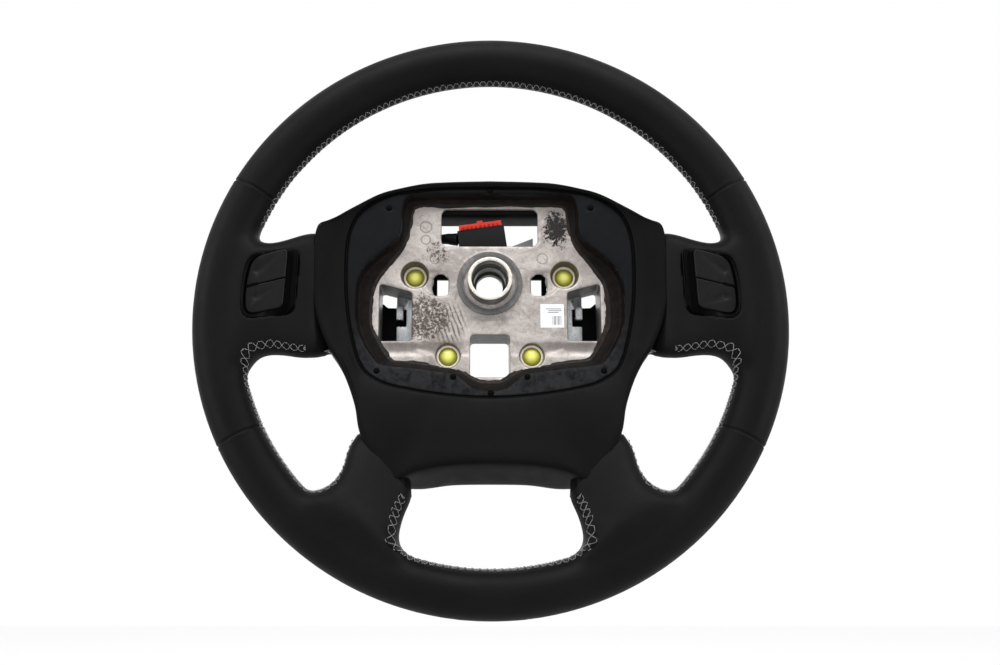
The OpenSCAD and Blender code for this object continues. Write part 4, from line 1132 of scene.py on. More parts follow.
def seam_mesh(name, frames, tree, seed, tufts=True):
    """Two rows of holes laced by crossed thread: short stitches along each row, and crossings between."""
    s = settings().thread
    rng = np.random.default_rng(seed)
    path, units = walked(frames, s.pitch)
    verts, faces, uvs = [], [], []
    r = s.thick / 2
    total = len(path) - 1

    def at(u, row):
        """Point at stitch number u, across the rows from 0 at the lower to 1 at the upper."""
        k = min(max(u * 4, 0), total - 1e-6)
        i = int(k)
        f = blended(path[i], path[i + 1], k - i)
        w = f[6] + (f[7] - f[6]) * row
        return f, w

    def strand(u1, row1, u2, row2, high=0.00035, steps=7):
        pts = []
        for k in range(steps + 1):
            t = k / steps
            f, w = at(u1 + (u2 - u1) * t, row1 + (row2 - row1) * t)
            dip = 0.0005 * (max(0, abs(2 * t - 1) - 0.86) / 0.14)
            lift = r * 0.35 + high * math.sin(math.pi * t) ** 0.7 - dip
            pts.append(surface_at(tree, f, w, lift))
        tube(pts, r * (1 + rng.normal(0, 0.04)), 6, verts, faces, uvs)

    def jitter():
        return rng.normal(0, 0.02)

    for k in range(units):
        u = k + 0.5
        a, b = 0.2 + jitter(), 0.2 + jitter()
        strand(u - a, 1 + jitter() * 2, u + a, 1 + jitter() * 2, 0.0003, 4)
        strand(u - b, 0 + jitter() * 2, u + b, 0 + jitter() * 2, 0.0003, 4)
        if k < units - 1:
            strand(u + a, 0.98, u + 1 - b, 0.02, 0.00055)
            strand(u + b, 0.02, u + 1 - a, 0.98, 0.00025)
    for u, way in ((0.3, -1), (units - 0.3, 1)) if tufts else ():
        for n in range(4):
            f, w = at(u, 0.5)
            base = surface_at(tree, f, w, 0.0003)
            f2, w2 = at(u + way * 0.6, 0.3 + 0.25 * n)
            tip = surface_at(tree, f2, w2, 0.0008)
            mid = (base + tip) / 2 + unit(base - frame_point(f, w)[0]) * 0.0008
            pts = [base * (1 - t) ** 2 + 2 * mid * t * (1 - t) + tip * t * t for t in np.linspace(0, 1, 6)]
            tube(pts, r * 0.9, 6, verts, faces, uvs)
    o = new_object(name, verts, faces)
    layer = o.data.uv_layers.new(name="UVMap")
    for loop in o.data.loops:
        layer.data[loop.index].uv = uvs[loop.vertex_index]
    return smooth_shade(recalculated(o), 60)


# The hub shroud, from half outlines in x and z that start at the top of the middle line (mm)

TRIM = 119
PLATE = [(0, 57.2), (28, 57.2), (46, 57.2), (53, 54.2), (55, 44), (57, 34), (62, 25), (71, 13), (78, 3),
         (81, -6), (82, -18), (81.5, -30), (77, -40), (71, -50), (66, -54.5), (52, -56), (37, -58.5),
         (25, -60), (18, -63), (9, -68.7), (0, -70)]
LEDGE = [(0, 61), (28, 61), (50, 60.5), (58, 57.5), (60.3, 47), (60.5, 36), (64, 28), (75, 18.5),
         (85.5, 8), (90, -3), (90.5, -18), (89.5, -31), (85, -43), (78, -54), (72, -59), (54, -61),
         (40, -63), (28, -64.5), (21, -67), (11, -75), (0, -77)]
BEAD = [(0, 65), (30, 64.7), (50, 63), (68, 60), (80, 55), (89, 47.5), (94, 39), (97, 28), (98, 14),
        (97.8, 0), (97, -14), (95, -29), (92, -43), (88, -56), (82, -65), (70, -72), (57, -75.3),
        (42, -78), (28, -79.8), (14, -81), (0, -81.5)]
OUTER = [(0, 71, 29), (30, 70, 29), (49, 68, 29.5), (76, 59, 31), (96, 47.5, 33.5), (109, 40.3, 36.5),
         (TRIM - 2, 35, 38.3), (TRIM, 18, 38.8), (TRIM, 0, 38.8), (TRIM - 0.5, -17, 38.8),
         (TRIM - 5, -34, 38.8), (107, -49, 38.6), (101, -58, 38), (94.4, -71, 37.5), (88.4, -88, 38.5),
         (84.6, -106, 40.6), (75.5, -123.5, 41.2), (64, -137, 41.2), (48, -130.5, 41), (25, -126.5, 40.5),
         (0, -125.5, 40.5)]
REAR = [(0, 70, 0), (30, 69, 0), (49, 67, 1), (75, 58, 4), (94, 47, 10), (107, 40, 14),
        (TRIM - 3.5, 34.5, 15), (TRIM - 1.5, 18, 15), (TRIM - 1.5, 0, 15), (TRIM - 2, -17, 15),
        (TRIM - 6, -34, 15), (108, -49, 14), (101.5, -59, 13), (94.6, -71, 12), (88.6, -88, 13),
        (84.8, -105.5, 14.5), (75.5, -123.5, 15), (64, -138, 14), (47, -141, 9), (25, -138.4, 8),
        (0, -138, 8)]
BACK = [(0, 66), (30, 65.5), (49, 63.5), (70, 56), (84, 46), (92, 37), (96, 28), (98, 16), (98, 2),
        (97, -14), (95, -28), (91, -42), (87, -54), (84, -64), (80, -74), (74, -86), (66, -97),
        (56, -106), (42, -112), (24, -114), (0, -114.5)]
INNER = [(0, 50.4), (28, 50.4), (44, 50.4), (50, 49.4), (52.5, 43), (55, 33), (60.5, 25)] + PLATE[7:]
PIPS = [(75.4, -63.5), (24.6, -67.4), (69.4, 50.6)]
MIDDLE_PIPS = [63.2, -78.2]
PIP_SPOTS = [(side * x, z) for x, z in PIPS for side in (1, -1)] + [(0.3, z) for z in MIDDLE_PIPS]


def keys_grown(keys, d):
    """A half outline moved out by a distance (mm)."""
    last = len(keys) - 1
    flat = [np.array(k[:2], float) for k in keys]
    out = []
    for i, p in enumerate(flat):
        a, b = flat[max(i - 1, 0)], flat[min(i + 1, last)]
        t = np.array([1.0 if i == 0 else -1.0, 0.0]) if i in (0, last) else unit(b - a)
        out.append(tuple(p + d * np.array([-t[1], t[0]])) + tuple(keys[i][2:]))
    return out


def at_height(keys, y):
    return [(k[0], k[1], y) for k in keys]


def keys_mixed(a, b, t):
    return [tuple(np.array(p) * (1 - t) + np.array(q) * t) for p, q in zip(a, b)]


def lifted(keys, d):
    return [(k[0], k[1], k[2] + d) for k in keys]


def whole_ring(keys, steps=5):
    half = curve_through(keys, steps)
    ring = half + [np.array((-p[0], p[1], p[2])) for p in reversed(half[1:-1])]
    return [(p[0] * mm, -p[2] * mm, p[1] * mm) for p in ring]


def shroud_mesh():
    """The foam shroud, lofted through rows of half outlines, each with the sharpness of its edge."""
    face, plate_back, back = 16.0, 12.0, -12.0
    ledge_y, bead_y = 28.0, 31.0
    top = at_height(keys_grown(BEAD, 2.4), bead_y)
    rows = [
        (at_height(keys_grown(PLATE, 2.5), face - 0.4), 0.0),
        (at_height(keys_grown(PLATE, 0.3), face - 0.1), 0.6),
        (at_height(keys_grown(PLATE, 0), face + 0.9), 0.5),
        (at_height(keys_mixed(PLATE, keys_grown(LEDGE, -0.8), 0.5), face + 1.7), 0),
        (at_height(keys_grown(LEDGE, -1.0), face + 2.1), 0.4),
        (at_height(keys_grown(LEDGE, -0.4), face + 4), 0),
        (at_height(keys_grown(LEDGE, 0.1), ledge_y - 1.1), 0.2),
        (at_height(keys_grown(LEDGE, 1.1), ledge_y), 0.3),
        (at_height(keys_mixed(keys_grown(LEDGE, 1), keys_grown(BEAD, -2), 0.5), ledge_y + 0.3), 0),
        (at_height(keys_grown(BEAD, -1.5), ledge_y + 0.4), 0.5),
        (at_height(keys_grown(BEAD, -0.7), ledge_y - 0.5), 0.6),
        (at_height(keys_grown(BEAD, 0.0), ledge_y - 0.5), 0.6),
        (at_height(keys_grown(BEAD, 0.7), bead_y - 0.8), 0.4),
        (lifted(top, 0.0), 0.1),
        (lifted(keys_mixed(top, OUTER, 0.18), 0.45), 0),
        (lifted(keys_mixed(top, OUTER, 0.42), 0.5), 0),
        (lifted(keys_mixed(top, OUTER, 0.7), 0.25), 0),
        (lifted(keys_grown(OUTER, -2.4), 0.0), 0),
        (lifted(keys_grown(OUTER, -0.2), -0.9), 0.15),
        (lifted(keys_grown(keys_mixed(OUTER, REAR, 0.16), 0.1), 0), 0),
        (lifted(keys_mixed(OUTER, REAR, 0.5), 0), 0),
        (lifted(keys_mixed(OUTER, REAR, 0.86), 0), 0),
        (lifted(keys_grown(REAR, -0.8), -0.9), 0.2),
        (lifted(keys_grown(REAR, -3.6), -3), 0),
        (at_height(BACK, back + 5), 0),
        (at_height(keys_grown(BACK, -3), back), 0.3),
        (at_height(keys_grown(INNER, 2), back), 0.3),
        (at_height(INNER, back + 1), 0.3),
        (at_height(INNER, plate_back - 1), 0.3),
        (at_height(keys_grown(PLATE, 2.5), plate_back), 0.3)]
    rings = [whole_ring(keys) for keys, crease in rows]
    o = loft("hub_foam", rings, closed_path=True)
    m = len(rings[0])
    crease = o.data.attributes.new("crease_edge", "FLOAT", "EDGE")
    for e in o.data.edges:
        a, b = e.vertices
        if a // m == b // m:
            crease.data[e.index].value = rows[a // m][1]
    recalculated(o)
    apply(o, "SUBSURF", levels=2, render_levels=2)
    p = points_of(o)
    # The dark pips stand in small hollows of the ledge
    for x, z in PIP_SPOTS:
        d = np.hypot(p[:, 0] - x * mm, p[:, 2] - z * mm)
        near = (d < 0.0026) & (p[:, 1] < -0.024)
        p[near, 1] += 0.0007 * np.cos(np.clip(d[near] / 0.0026, 0, 1) * math.pi / 2) ** 0.7
    set_points(o, p)
    zone = o.data.attributes.new("ledge", "FLOAT", "POINT")
    inside = np.array([(q[0], q[2]) for q in whole_ring(at_height(keys_grown(BEAD, -0.9), 0))])
    d, near = outline_distance(p[:, [0, 2]], inside)
    value = np.clip(-d / 0.0008, 0, 1) * (p[:, 1] < -0.0265)
    zone.data.foreach_set("value", value.astype(np.float32))
    lip = np.array([(q[0], q[2]) for q in whole_ring(at_height(keys_grown(LEDGE, 0.4), 0))])
    d, near = outline_distance(p[:, [0, 2]], lip)
    wall = np.clip(-d / 0.0006, 0, 1) * (p[:, 1] > -0.0274) * (p[:, 1] < -0.0150)
    o.data.attributes.new("wall", "FLOAT", "POINT").data.foreach_set("value", wall.astype(np.float32))
    return smooth_shade(o, 50)


# The casting and what sits in it

# The ejector pins' marks: x, z and radius (mm)
MARKS = [(-44.5, 41, 4.0), (-44.5, 31.5, 3.2), (-37.7, 17.7, 3.6), (36.4, 17.7, 3.6), (-44.7, -24.6, 3.6)]
# The guides' x, z and the radius of their recesses (mm)
GUIDES = [(-51.8, 6.5, 9.5), (51.8, 6.5, 9.5), (-28.5, -50.5, 8.4), (28.5, -50.5, 8.4)]
# Patches of painted shade in the casting's hollows and groove: centre and size (m), and strength
PAINTED_SHADE_PATCHES = [((0, -0.016, 0.0545), (0.05, 0.02, 0.004), 0.55),
                ((0, -0.016, -0.0245), (0.02, 0.02, 0.003), 0.4)]
for side in (-1, 1):
    PAINTED_SHADE_PATCHES += [((side * 0.062, -0.016, -0.0445), (0.026, 0.02, 0.0055), 0.75),
                     ((side * 0.039, -0.016, -0.0445), (0.016, 0.02, 0.005), 0.6),
                     ((side * 0.040, -0.016, 0.004), (0.011, 0.02, 0.008), 0.35)]


def clipped(node, name, planes):
    """A merged copy of a CAD node, cut off in front of each plane, where its normal points, and closed."""
    o = cad_copy(node, name)
    for point, normal in planes:
        select_only(o)
        bpy.ops.object.mode_set(mode="EDIT")
        bpy.ops.mesh.select_all(action="SELECT")
        bpy.ops.mesh.bisect(plane_co=point, plane_no=normal, use_fill=True, clear_outer=True)
        bpy.ops.object.mode_set(mode="OBJECT")
    return o


def casting_mesh():
    """The CAD's casting, with its edges softened between the arms."""
    edge, low = 0.086, -0.074
    right, left = ((edge, 0, 0), (1, 0, 0)), ((-edge, 0, 0), (-1, 0, 0))
    hub = clipped("armature", "casting", [right, left, ((0, 0, low), (0, 0, -1))])
    apply(hub, "REMESH", mode="VOXEL", voxel_size=0.00085, adaptivity=0)
    p = points_of(hub)
    relaxed(hub, np.ones(len(p)), 4)
    arms = [clipped("armature", "arms", [((edge, 0, 0), (-1, 0, 0))]),
            clipped("armature", "arms", [((-edge, 0, 0), (1, 0, 0))]),
            clipped("armature", "arms", [right, left, ((0, 0, low), (0, 0, 1))]),
            clipped("armature", "arms", [right, left, ((0, 0, 0.06), (0, 0, -1))])]
    joined(hub, *arms)
    p = points_of(hub)
    p[:, 1] = np.where(np.hypot(p[:, 0], p[:, 2]) < 0.0230, np.maximum(p[:, 1], -0.0163), p[:, 1])
    set_points(hub, p)
    # How much each point faces forward; the finish paints shade where this is low
    normals = np.empty(len(hub.data.vertices) * 3)
    hub.data.vertex_normals.foreach_get("vector", normals)
    front = np.clip(-normals.reshape(-1, 3)[:, 1], 0, 1)
    hub.data.attributes.new("front", "FLOAT", "POINT").data.foreach_set("value", front.astype(np.float32))
    return smooth_shade(hub, 50)


def turned_ring(name, profile, segments=96):
    """Spins a closed profile of radius and distance in front (mm) round the hub's axis."""
    verts = [(r * mm, -y * mm, 0) for r, y in profile]
    mesh = bpy.data.meshes.new(name)
    mesh.from_pydata(verts, [(i, (i + 1) % len(verts)) for i in range(len(verts))], [])
    o = bpy.data.objects.new(name, mesh)
    bpy.context.scene.collection.objects.link(o)
    select_only(o)
    bpy.ops.object.mode_set(mode="EDIT")
    bpy.ops.mesh.select_all(action="SELECT")
    bpy.ops.mesh.spin(steps=segments, angle=2 * math.pi, center=(0, 0, 0), axis=(0, 1, 0))
    bpy.ops.mesh.select_all(action="SELECT")
    bpy.ops.mesh.remove_doubles(threshold=0.00001)
    bpy.ops.mesh.normals_make_consistent(inside=False)
    bpy.ops.object.mode_set(mode="OBJECT")
    return smooth_shade(o, 30)


def plug_mesh(name, x, z, front, back):
    """A domed plug round x and z, whose skirt ends at front and back (mm)."""
    o = turned_ring(name, [
        (0, front + 1.9), (1.6, front + 1.8), (3.1, front + 1.45), (4.5, front + 0.9), (5.5, front + 0.3),
        (6.2, front - 0.4), (6.45, front - 1.3), (6.45, back), (0, back)], 64)
    p = points_of(o)
    # core is 1 in the dome's middle and 0 at its edge; the finish paints the highlight and the edge's shade
    # with it
    core = np.clip(1 - np.hypot(p[:, 0], p[:, 2]) / (6.0 * mm), 0, 1) * (-p[:, 1] > (front - 1) * mm)
    o.data.attributes.new("core", "FLOAT", "POINT").data.foreach_set("value", core.astype(np.float32))
    set_points(o, p + np.array((x * mm, 0, z * mm)))
    return o


def flash_mesh():
    """The ragged lip of foam that ran over the casting's edge in the mould."""
    rng = np.random.default_rng(7)
    half = curve_through(at_height(PLATE, 0), 14)
    ring = [np.array(p[:2]) for p in half] + [np.array((-p[0], p[1])) for p in reversed(half[1:-1])]
    n = len(ring)
    t = np.arange(n)

    def wander(scale, amount):
        knots = rng.normal(0, amount, max(4, int(n / scale)))
        knots = np.append(knots, knots[0])
        return np.interp(t, np.linspace(0, n, len(knots)), knots)

    width = 1.9 + wander(22, 0.55) + wander(7, 0.35) + wander(2.5, 0.22)
    side = np.array([p[0] for p in ring])
    height = np.array([p[1] for p in ring])
    width += 1.0 * np.clip((np.abs(side) - 45) / 30, 0, 1) * (height < 30)
    width += 0.9 * (height < -62)
    guide = (height < -52) & (np.abs(np.abs(side) - 30) < 12)
    width = np.where(guide, 0.5 + 0.35 * width * (np.abs(np.abs(side) - 28.5) > 6), width)
    width = np.clip(width, 0.4, 4.2)
    rise = np.clip(0.55 + wander(5, 0.25) + wander(1.6, 0.12), 0.15, 1.2)
    rings = []
    for k in range(n):
        a, b = ring[k - 1], ring[(k + 1) % n]
        tangent = unit(b - a)
        out = np.array((-tangent[1], tangent[0]))
        p = ring[k]
        w, h = width[k], rise[k]
        sec = [(p + out * 0.9, 15.6), (p + out * 0.7, 17.3), (p - out * 0.1, 16.5 + h * 0.8),
               (p - out * w * 0.35, 16.15 + h * 0.75), (p - out * w * 0.7, 16.1 + h * 0.55),
               (p - out * (w - 0.12), 16.05 + h * 0.35), (p - out * w, 15.92), (p - out * w * 0.5, 15.7)]
        rings.append([(q[0] * mm, -y * mm, q[1] * mm) for q, y in sec])
    o = loft("foam_flash", rings, closed_path=True)
    recalculated(o)
    apply(o, "SUBSURF", levels=1, render_levels=1)
    return smooth_shade(o, 70)


def flash_finish(name):
    s = settings().shroud
    f = Finish(name)
    f.set(Specular_IOR_Level=0.16)
    glint_specks = f.noise(620, 5, 0.75)
    base = f.ramp(f.noise(160, 4), [(0.35, lighter(s.flash, 0.45)), (0.7, lighter(s.flash, 1.3))])
    # Pale specks on the flash are painted highlights
    f.to(f.mix(f.step(glint_specks, 0.66, 0.74), base, (0.10, 0.082, 0.072)), "Base Color")
    f.to(f.scale_to(glint_specks, 0.35, 0.7, 0.3, 0.65), "Roughness")
    f.bump(f.noise(520, 5, 0.7), 0.0005, 0.6)
    return f.mat


# The leads' routes from the pods to the connector (mm). Their first part is the same on both sides
SHARED_ROUTE = [(126.9, -38, -6), (120, -33, -4.5), (112, -27, -2), (102, -19.5, 1), (92, -12.5, 4.5),
                (82, -5.5, 8.4), (74, -0.5, 11), (66, 1.5, 14)]
RIGHT_LEAD = SHARED_ROUTE + [(57, 2, 21.5), (42, 1, 24), (28, -3, 24.5), (13.5, -6.3, 25.8)]
LEFT_LEAD = [(-x, y, z) for x, y, z in SHARED_ROUTE]
LEFT_LEAD += [(-58, 2, 23), (-46, 0, 33), (-34, -4, 36), (-22.5, -6.3, 35.1)]


def lead_mesh(name, route, swell):
    """A taped lead that thickens towards the connector, with the tape's turns standing out."""
    p = [np.array(q) * mm for q in curve_through(route, 14)]
    n = len(p)
    sides = 18
    rings = []
    side = None
    travelled = 0.0
    for i in range(n):
        t = unit(p[min(i + 1, n - 1)] - p[max(i - 1, 0)])
        side = unit(np.cross(t, (0, 1, 0.2))) if side is None else unit(side - t * (side @ t))
        up = np.cross(t, side)
        if i:
            travelled += float(np.linalg.norm(p[i] - p[i - 1]))
        end = min(1, max(0, (i / (n - 1) - 0.82) / 0.18))
        r = 0.00152 + swell * end ** 0.8
        ring = []
        for k in range(sides):
            a = 2 * math.pi * k / sides
            turn = (travelled / 0.006 + k / sides) % 1
            ring.append(p[i] + (side * math.cos(a) + up * math.sin(a)) * (r + 0.00013 * (turn < 0.5)))
        rings.append(ring)
    return smooth_shade(recalculated(loft(name, rings)), 60)


# Operators

class Build:
    bl_options = {"REGISTER"}


class WHEEL_OT_stage(Build, bpy.types.Operator):
    """Sets the camera, the lamps, the floor and the white surroundings"""
    bl_idname = "wheel.stage"
    bl_label = "Stage"

    def execute(self, context):
        s = settings().stage
        bpy.ops.object.select_all(action="DESELECT")
        bpy.ops.object.camera_add(location=s.eye)
        camera = context.active_object
        camera.data.lens = s.lens
        camera.data.shift_x = s.shift
        camera.data.sensor_width = 36
        camera.data.clip_start = 0.01
        camera.rotation_euler = (Vector(s.aim) - Vector(s.eye)).to_track_quat("-Z", "Y").to_euler()
        context.scene.camera = camera
        context.scene.view_settings.view_transform = "Standard"
        for name, place, aim, size, power in (
                ("lamp_top", (0.0, -0.75, 1.05), (0, 0, 0), (1.5, 0.7), 17),
                ("lamp_left", (-1.15, -0.55, 0.25), (0, 0, -0.02), (0.35, 1.3), 7),
                ("lamp_right", (1.15, -0.55, 0.25), (0, 0, -0.02), (0.35, 1.3), 6.5),
                ("lamp_back", (0.0, 1.1, 0.5), (0, 0, 0), (1.4, 0.8), 4.5)):
            bpy.ops.object.light_add(type="AREA", location=place)
            lamp = context.active_object
            lamp.name = name
            lamp.data.shape = "RECTANGLE"
            lamp.data.size, lamp.data.size_y = size
            lamp.data.energy = power
            lamp.rotation_euler = (Vector(aim) - Vector(place)).to_track_quat("-Z", "Y").to_euler()
        bpy.ops.object.select_all(action="DESELECT")
        bpy.ops.mesh.primitive_plane_add(size=8, location=(0, 0, s.floor))
        floor = context.active_object
        floor.name = "floor"
        floor.data.materials.append(self.floor_finish())
        settle(floor)
        self.world(s.level)
        return {"FINISHED"}

    def floor_finish(self):
        mat = bpy.data.materials.new("floor_white")
        mat.use_nodes = True
        tree = mat.node_tree
        shader = tree.nodes["Principled BSDF"]
        shader.inputs["Base Color"].default_value = (0.86, 0.86, 0.86, 1)
        shader.inputs["Roughness"].default_value = 0.9
        shader.inputs["Specular IOR Level"].default_value = 0.1
        glow = tree.nodes.new("ShaderNodeEmission")
        glow.inputs["Color"].default_value = (1, 1, 1, 1)
        path = tree.nodes.new("ShaderNodeLightPath")
        add = tree.nodes.new("ShaderNodeAddShader")
        faint = tree.nodes.new("ShaderNodeMath")
        faint.operation = "MULTIPLY"
        faint.inputs[1].default_value = 0.5
        tree.links.new(path.outputs["Is Camera Ray"], faint.inputs[0])
        tree.links.new(faint.outputs["Value"], glow.inputs["Strength"])
        tree.links.new(shader.outputs["BSDF"], add.inputs[0])
        tree.links.new(glow.outputs["Emission"], add.inputs[1])
        tree.links.new(add.outputs["Shader"], tree.nodes["Material Output"].inputs["Surface"])
        return mat

    def world(self, level):
        world = bpy.data.worlds.new("white_surroundings")
        bpy.context.scene.world = world
        world.use_nodes = True
        tree = world.node_tree
        tree.nodes.clear()
        path = tree.nodes.new("ShaderNodeLightPath")
        seen = tree.nodes.new("ShaderNodeMath")
        seen.operation = "MAXIMUM"
        seen2 = tree.nodes.new("ShaderNodeMath")
        seen2.operation = "MAXIMUM"
        tree.links.new(path.outputs["Is Camera Ray"], seen.inputs[0])
        tree.links.new(path.outputs["Is Glossy Ray"], seen.inputs[1])
        tree.links.new(seen.outputs["Value"], seen2.inputs[0])
        tree.links.new(path.outputs["Is Transmission Ray"], seen2.inputs[1])
        white = tree.nodes.new("ShaderNodeBackground")
        white.inputs["Color"].default_value = (1, 1, 1, 1)
        soft = tree.nodes.new("ShaderNodeBackground")
        soft.inputs["Color"].default_value = (1, 1, 1, 1)
        soft.inputs["Strength"].default_value = level
        mix = tree.nodes.new("ShaderNodeMixShader")
        tree.links.new(seen2.outputs["Value"], mix.inputs["Fac"])
        tree.links.new(soft.outputs["Background"], mix.inputs[1])
        tree.links.new(white.outputs["Background"], mix.inputs[2])
        out = tree.nodes.new("ShaderNodeOutputWorld")
        tree.links.new(mix.outputs["Shader"], out.inputs["Surface"])


class WHEEL_OT_leather(Build, bpy.types.Operator):
    """Wraps the rim and the spokes in leather and laces the seams"""
    bl_idname = "wheel.leather"
    bl_label = "Leather and seams"

    def execute(self, context):
        pieces = leather_pieces()
        mat = finish("leather", leather_finish)
        for node, o in pieces.items():
            finished(o, mat, "leather", node)
        tree = bm_tree(pieces.values())
        thread = finish("thread", thread_finish)
        top, right, bottom = seam_frames(settings().rim)
        left = [f * MIRROR for f in right]
        for side, frames, seed in (("top", top, 3), ("right", right, 5), ("left", left, 11),
                                   ("bottom", bottom, 17)):
            o = seam_mesh("seam_" + side, frames, tree, seed, tufts=side != "top")
            finished(o, thread, "thread", "stitching_" + side)
        return {"FINISHED"}


def bm_tree(objects):
    bm = bmesh.new()
    for o in objects:
        bm.from_mesh(o.data)
    tree = BVHTree.FromBMesh(bm)
    bm.free()
    return tree


class WHEEL_OT_shroud(Build, bpy.types.Operator):
    """Moulds the foam shroud round the hub, with its ledge, bead, cheeks and apron"""
    bl_idname = "wheel.shroud"
    bl_label = "Hub shroud"

    def execute(self, context):
        finished(shroud_mesh(), finish("shroud_skin", shroud_finish), "shroud_foam", "hub_shroud")
        flaps = []
        for side in (1, -1):
            outline = [(88, -52), (51, -51), (51, -9.6), (72.5, -9.2), (76, -6), (88, -6)]
            points = cut_corners(outline, 1.2)
            rings = [[(side * q[0] * mm, y, q[1] * mm) for q in points] for y in (0.0146, 0.0178)]
            flap = recalculated(loft("foam_flap", rings))
            apply(flap, "BEVEL", width=0.0007, segments=2, limit_method="ANGLE", angle_limit=0.6)
            flaps.append(smooth_shade(flap, 40))
        for side in (1, -1):
            outline = [(36.9, -3), (40.5, -3), (40.5, 14), (29, 14), (29, 9), (36.9, 9)]
            rings = [[(side * x * mm, y, z * mm) for x, z in outline] for y in (0.0045, 0.0075)]
            flaps.append(smooth_shade(recalculated(loft("foam_lip", rings)), 40))
        for o, name in zip(flaps, ("foam_flap_right", "foam_flap_left", "foam_lip_right", "foam_lip_left")):
            o.name = name
            finished(o, finish("foam", foam_finish), "shroud_foam")
        finished(flash_mesh(), finish("flash", flash_finish), "shroud_foam")
        pip_mat = finish("pip", plastic_finish, (0.0010, 0.0010, 0.0010), 0.5, specular=0.03)
        pips = []
        for x, z in PIP_SPOTS:
            bpy.ops.object.select_all(action="DESELECT")
            bpy.ops.mesh.primitive_uv_sphere_add(segments=20, ring_count=10, radius=0.0021,
                                                 location=(x * mm, -0.0278 if z > -72 else -0.0282, z * mm))
            pip = context.active_object
            pip.scale = (1, 0.45, 1)
            pips.append(settle(pip))
        o = joined(*pips)
        o.name = "ledge_pips"
        finished(smooth_shade(o, 60), pip_mat, "shroud_foam")
        frame["nodes"]["rim_foam"].material_slots[0].material = finish("foam", foam_finish)
        if "rim_core" in frame["nodes"]:
            frame["nodes"]["rim_core"].material_slots[0].material = finish(
                "core_steel", metal_finish, (0.30, 0.31, 0.32), 0.35, 0.9)
        return {"FINISHED"}


class WHEEL_OT_casting(Build, bpy.types.Operator):
    """Casts the frame and fits its boss, sleeve, guides, clips and label"""
    bl_idname = "wheel.casting"
    bl_label = "Cast frame and hub"

    def execute(self, context):
        s = settings().cast
        finished(casting_mesh(), finish("casting", cast_finish), "cast_frame", "armature")
        boss = turned_ring("machined_boss", [
            (22.4, 15.4), (22.4, 17.9), (22.15, 18.15), (18.9, 18.15), (18.6, 18.0), (16.7, 15.2),
            (16.4, 12.4), (15.3, 11.6), (15.3, 9.0), (20.5, 10.5)])
        finished(boss, finish("machined", boss_finish), "cast_frame")
        sleeve = turned_ring("sleeve_turned", [
            (15.1, 0.4), (15.1, 29.5), (14.8, 29.9), (14.5, 30.0), (13.2, 30.0), (12.8, 29.8), (12.6, 29.4),
            (12.6, 18.7), (12.3, 18.5), (11.1, 18.5), (10.8, 18.2), (10.8, 6.4), (10.4, 6.0), (9.7, 6.0),
            (9.3, 5.6), (9.3, 0.3), (9.6, 0.0), (14.7, 0.0)])
        finished(sleeve, finish("sleeve", sleeve_finish), "hub_steel", "hub_sleeve")
        nylon = finish("nylon", plastic_finish, s.nylon, 0.32, clear=0.3)
        plug = finish("plug", plug_finish)
        steel = finish("clip", metal_finish, s.clip, 0.3, 0.7)
        for at in ("upper_left", "upper_right", "lower_left", "lower_right"):
            node = "guide_sleeve_" + at
            finished(eased(node, "ring_" + at, 0.0005, 2), nylon, "guide_sleeve", node)
            side = 1 if "right" in at else -1
            place = (side * 51.8, 6.5, 7.7, -1.7) if "upper" in at else (side * 28.5, -50.5, 11.4, 2.0)
            finished(plug_mesh("plug_" + at, *place), plug, "guide_plug", "guide_plug_" + at)
        for side in ("left", "right"):
            clip = eased("latch_clip_" + side, "clip_" + side, 0.0004, 2)
            p = points_of(clip)
            p[:, 2] += 0.0075 * (p[:, 2] > -0.0095)
            p[:, 0] += 0.0012 * np.sign(p[:, 0]) * (np.abs(p[:, 0]) > 0.0625)
            set_points(clip, p)
            finished(clip, steel, "clip_steel", "latch_clip_" + side)
        label = finish("label", label_finish)
        finished(eased("paper_label", "label", 0.00003, 1), label, "label", "paper_label")
        return {"FINISHED"}


# The right pod's parting line, as the height z at an x and its slope, and half the gap along it, which is
# wider where the fence stands (mm)
PARTING_X, PARTING_Z, PARTING_SLOPE = 120, -3.4, 0.244
HALF_GAP, HALF_FENCE = 0.25, 0.8
# Points of the outline closer to the parting line than this are left out
CLEAR_OF_PARTING = 2.4
# A button's cap from the back to the face: how far its outline is drawn in, how much more on the hub's
# side, and the distance forward (mm)
CAP_ROWS = [(0, 0, 49.7), (0, 0, 54.1), (0.10, 0.25, 54.55), (0.35, 0.7, 54.85), (0.75, 1.1, 55.0),
            (1.0, 1.35, 55.0)]
# The ball that cuts the dimples: its place in x and z on the upper and lower button (mm), and its radius
# and distance forward (m)
UPPER_DIMPLE, LOWER_DIMPLE = (152.3, -2.0), (152.1, -19.8)
BALL_RADIUS, BALL_FORWARD = 0.0061, 0.06064
# The part of the CAD's button that is kept as the cap's stem: its front, and its sides in x (m)
STEM_FRONT, STEM_INNER, STEM_OUTER = 0.0500, 0.1432, 0.1488


def split_z(x):
    return PARTING_Z - (x - PARTING_X) * PARTING_SLOPE


def button_outline(upper):
    """One button's part of the pod's outline, cut by the parting line and the notch for the fence."""
    way = 1 if upper else -1
    ring = pod_ring()
    keep = [q for q in ring if (q[1] - split_z(q[0])) * way > CLEAR_OF_PARTING]
    start = next(i for i in range(len(keep)) if np.linalg.norm(keep[i] - keep[i - 1]) > 3)
    keep = keep[start:] + keep[:start]
    edge = [(133.4, HALF_GAP), (151.2, HALF_GAP), (151.4, HALF_FENCE), (158.6, HALF_FENCE)]
    if not upper:
        edge.reverse()
    cut = [np.array((x, split_z(x) + way * d)) for x, d in edge]
    first = keep[0]
    if np.linalg.norm(cut[-1] - first) < np.linalg.norm(cut[0] - first):
        return keep + cut
    return keep + cut[::-1]


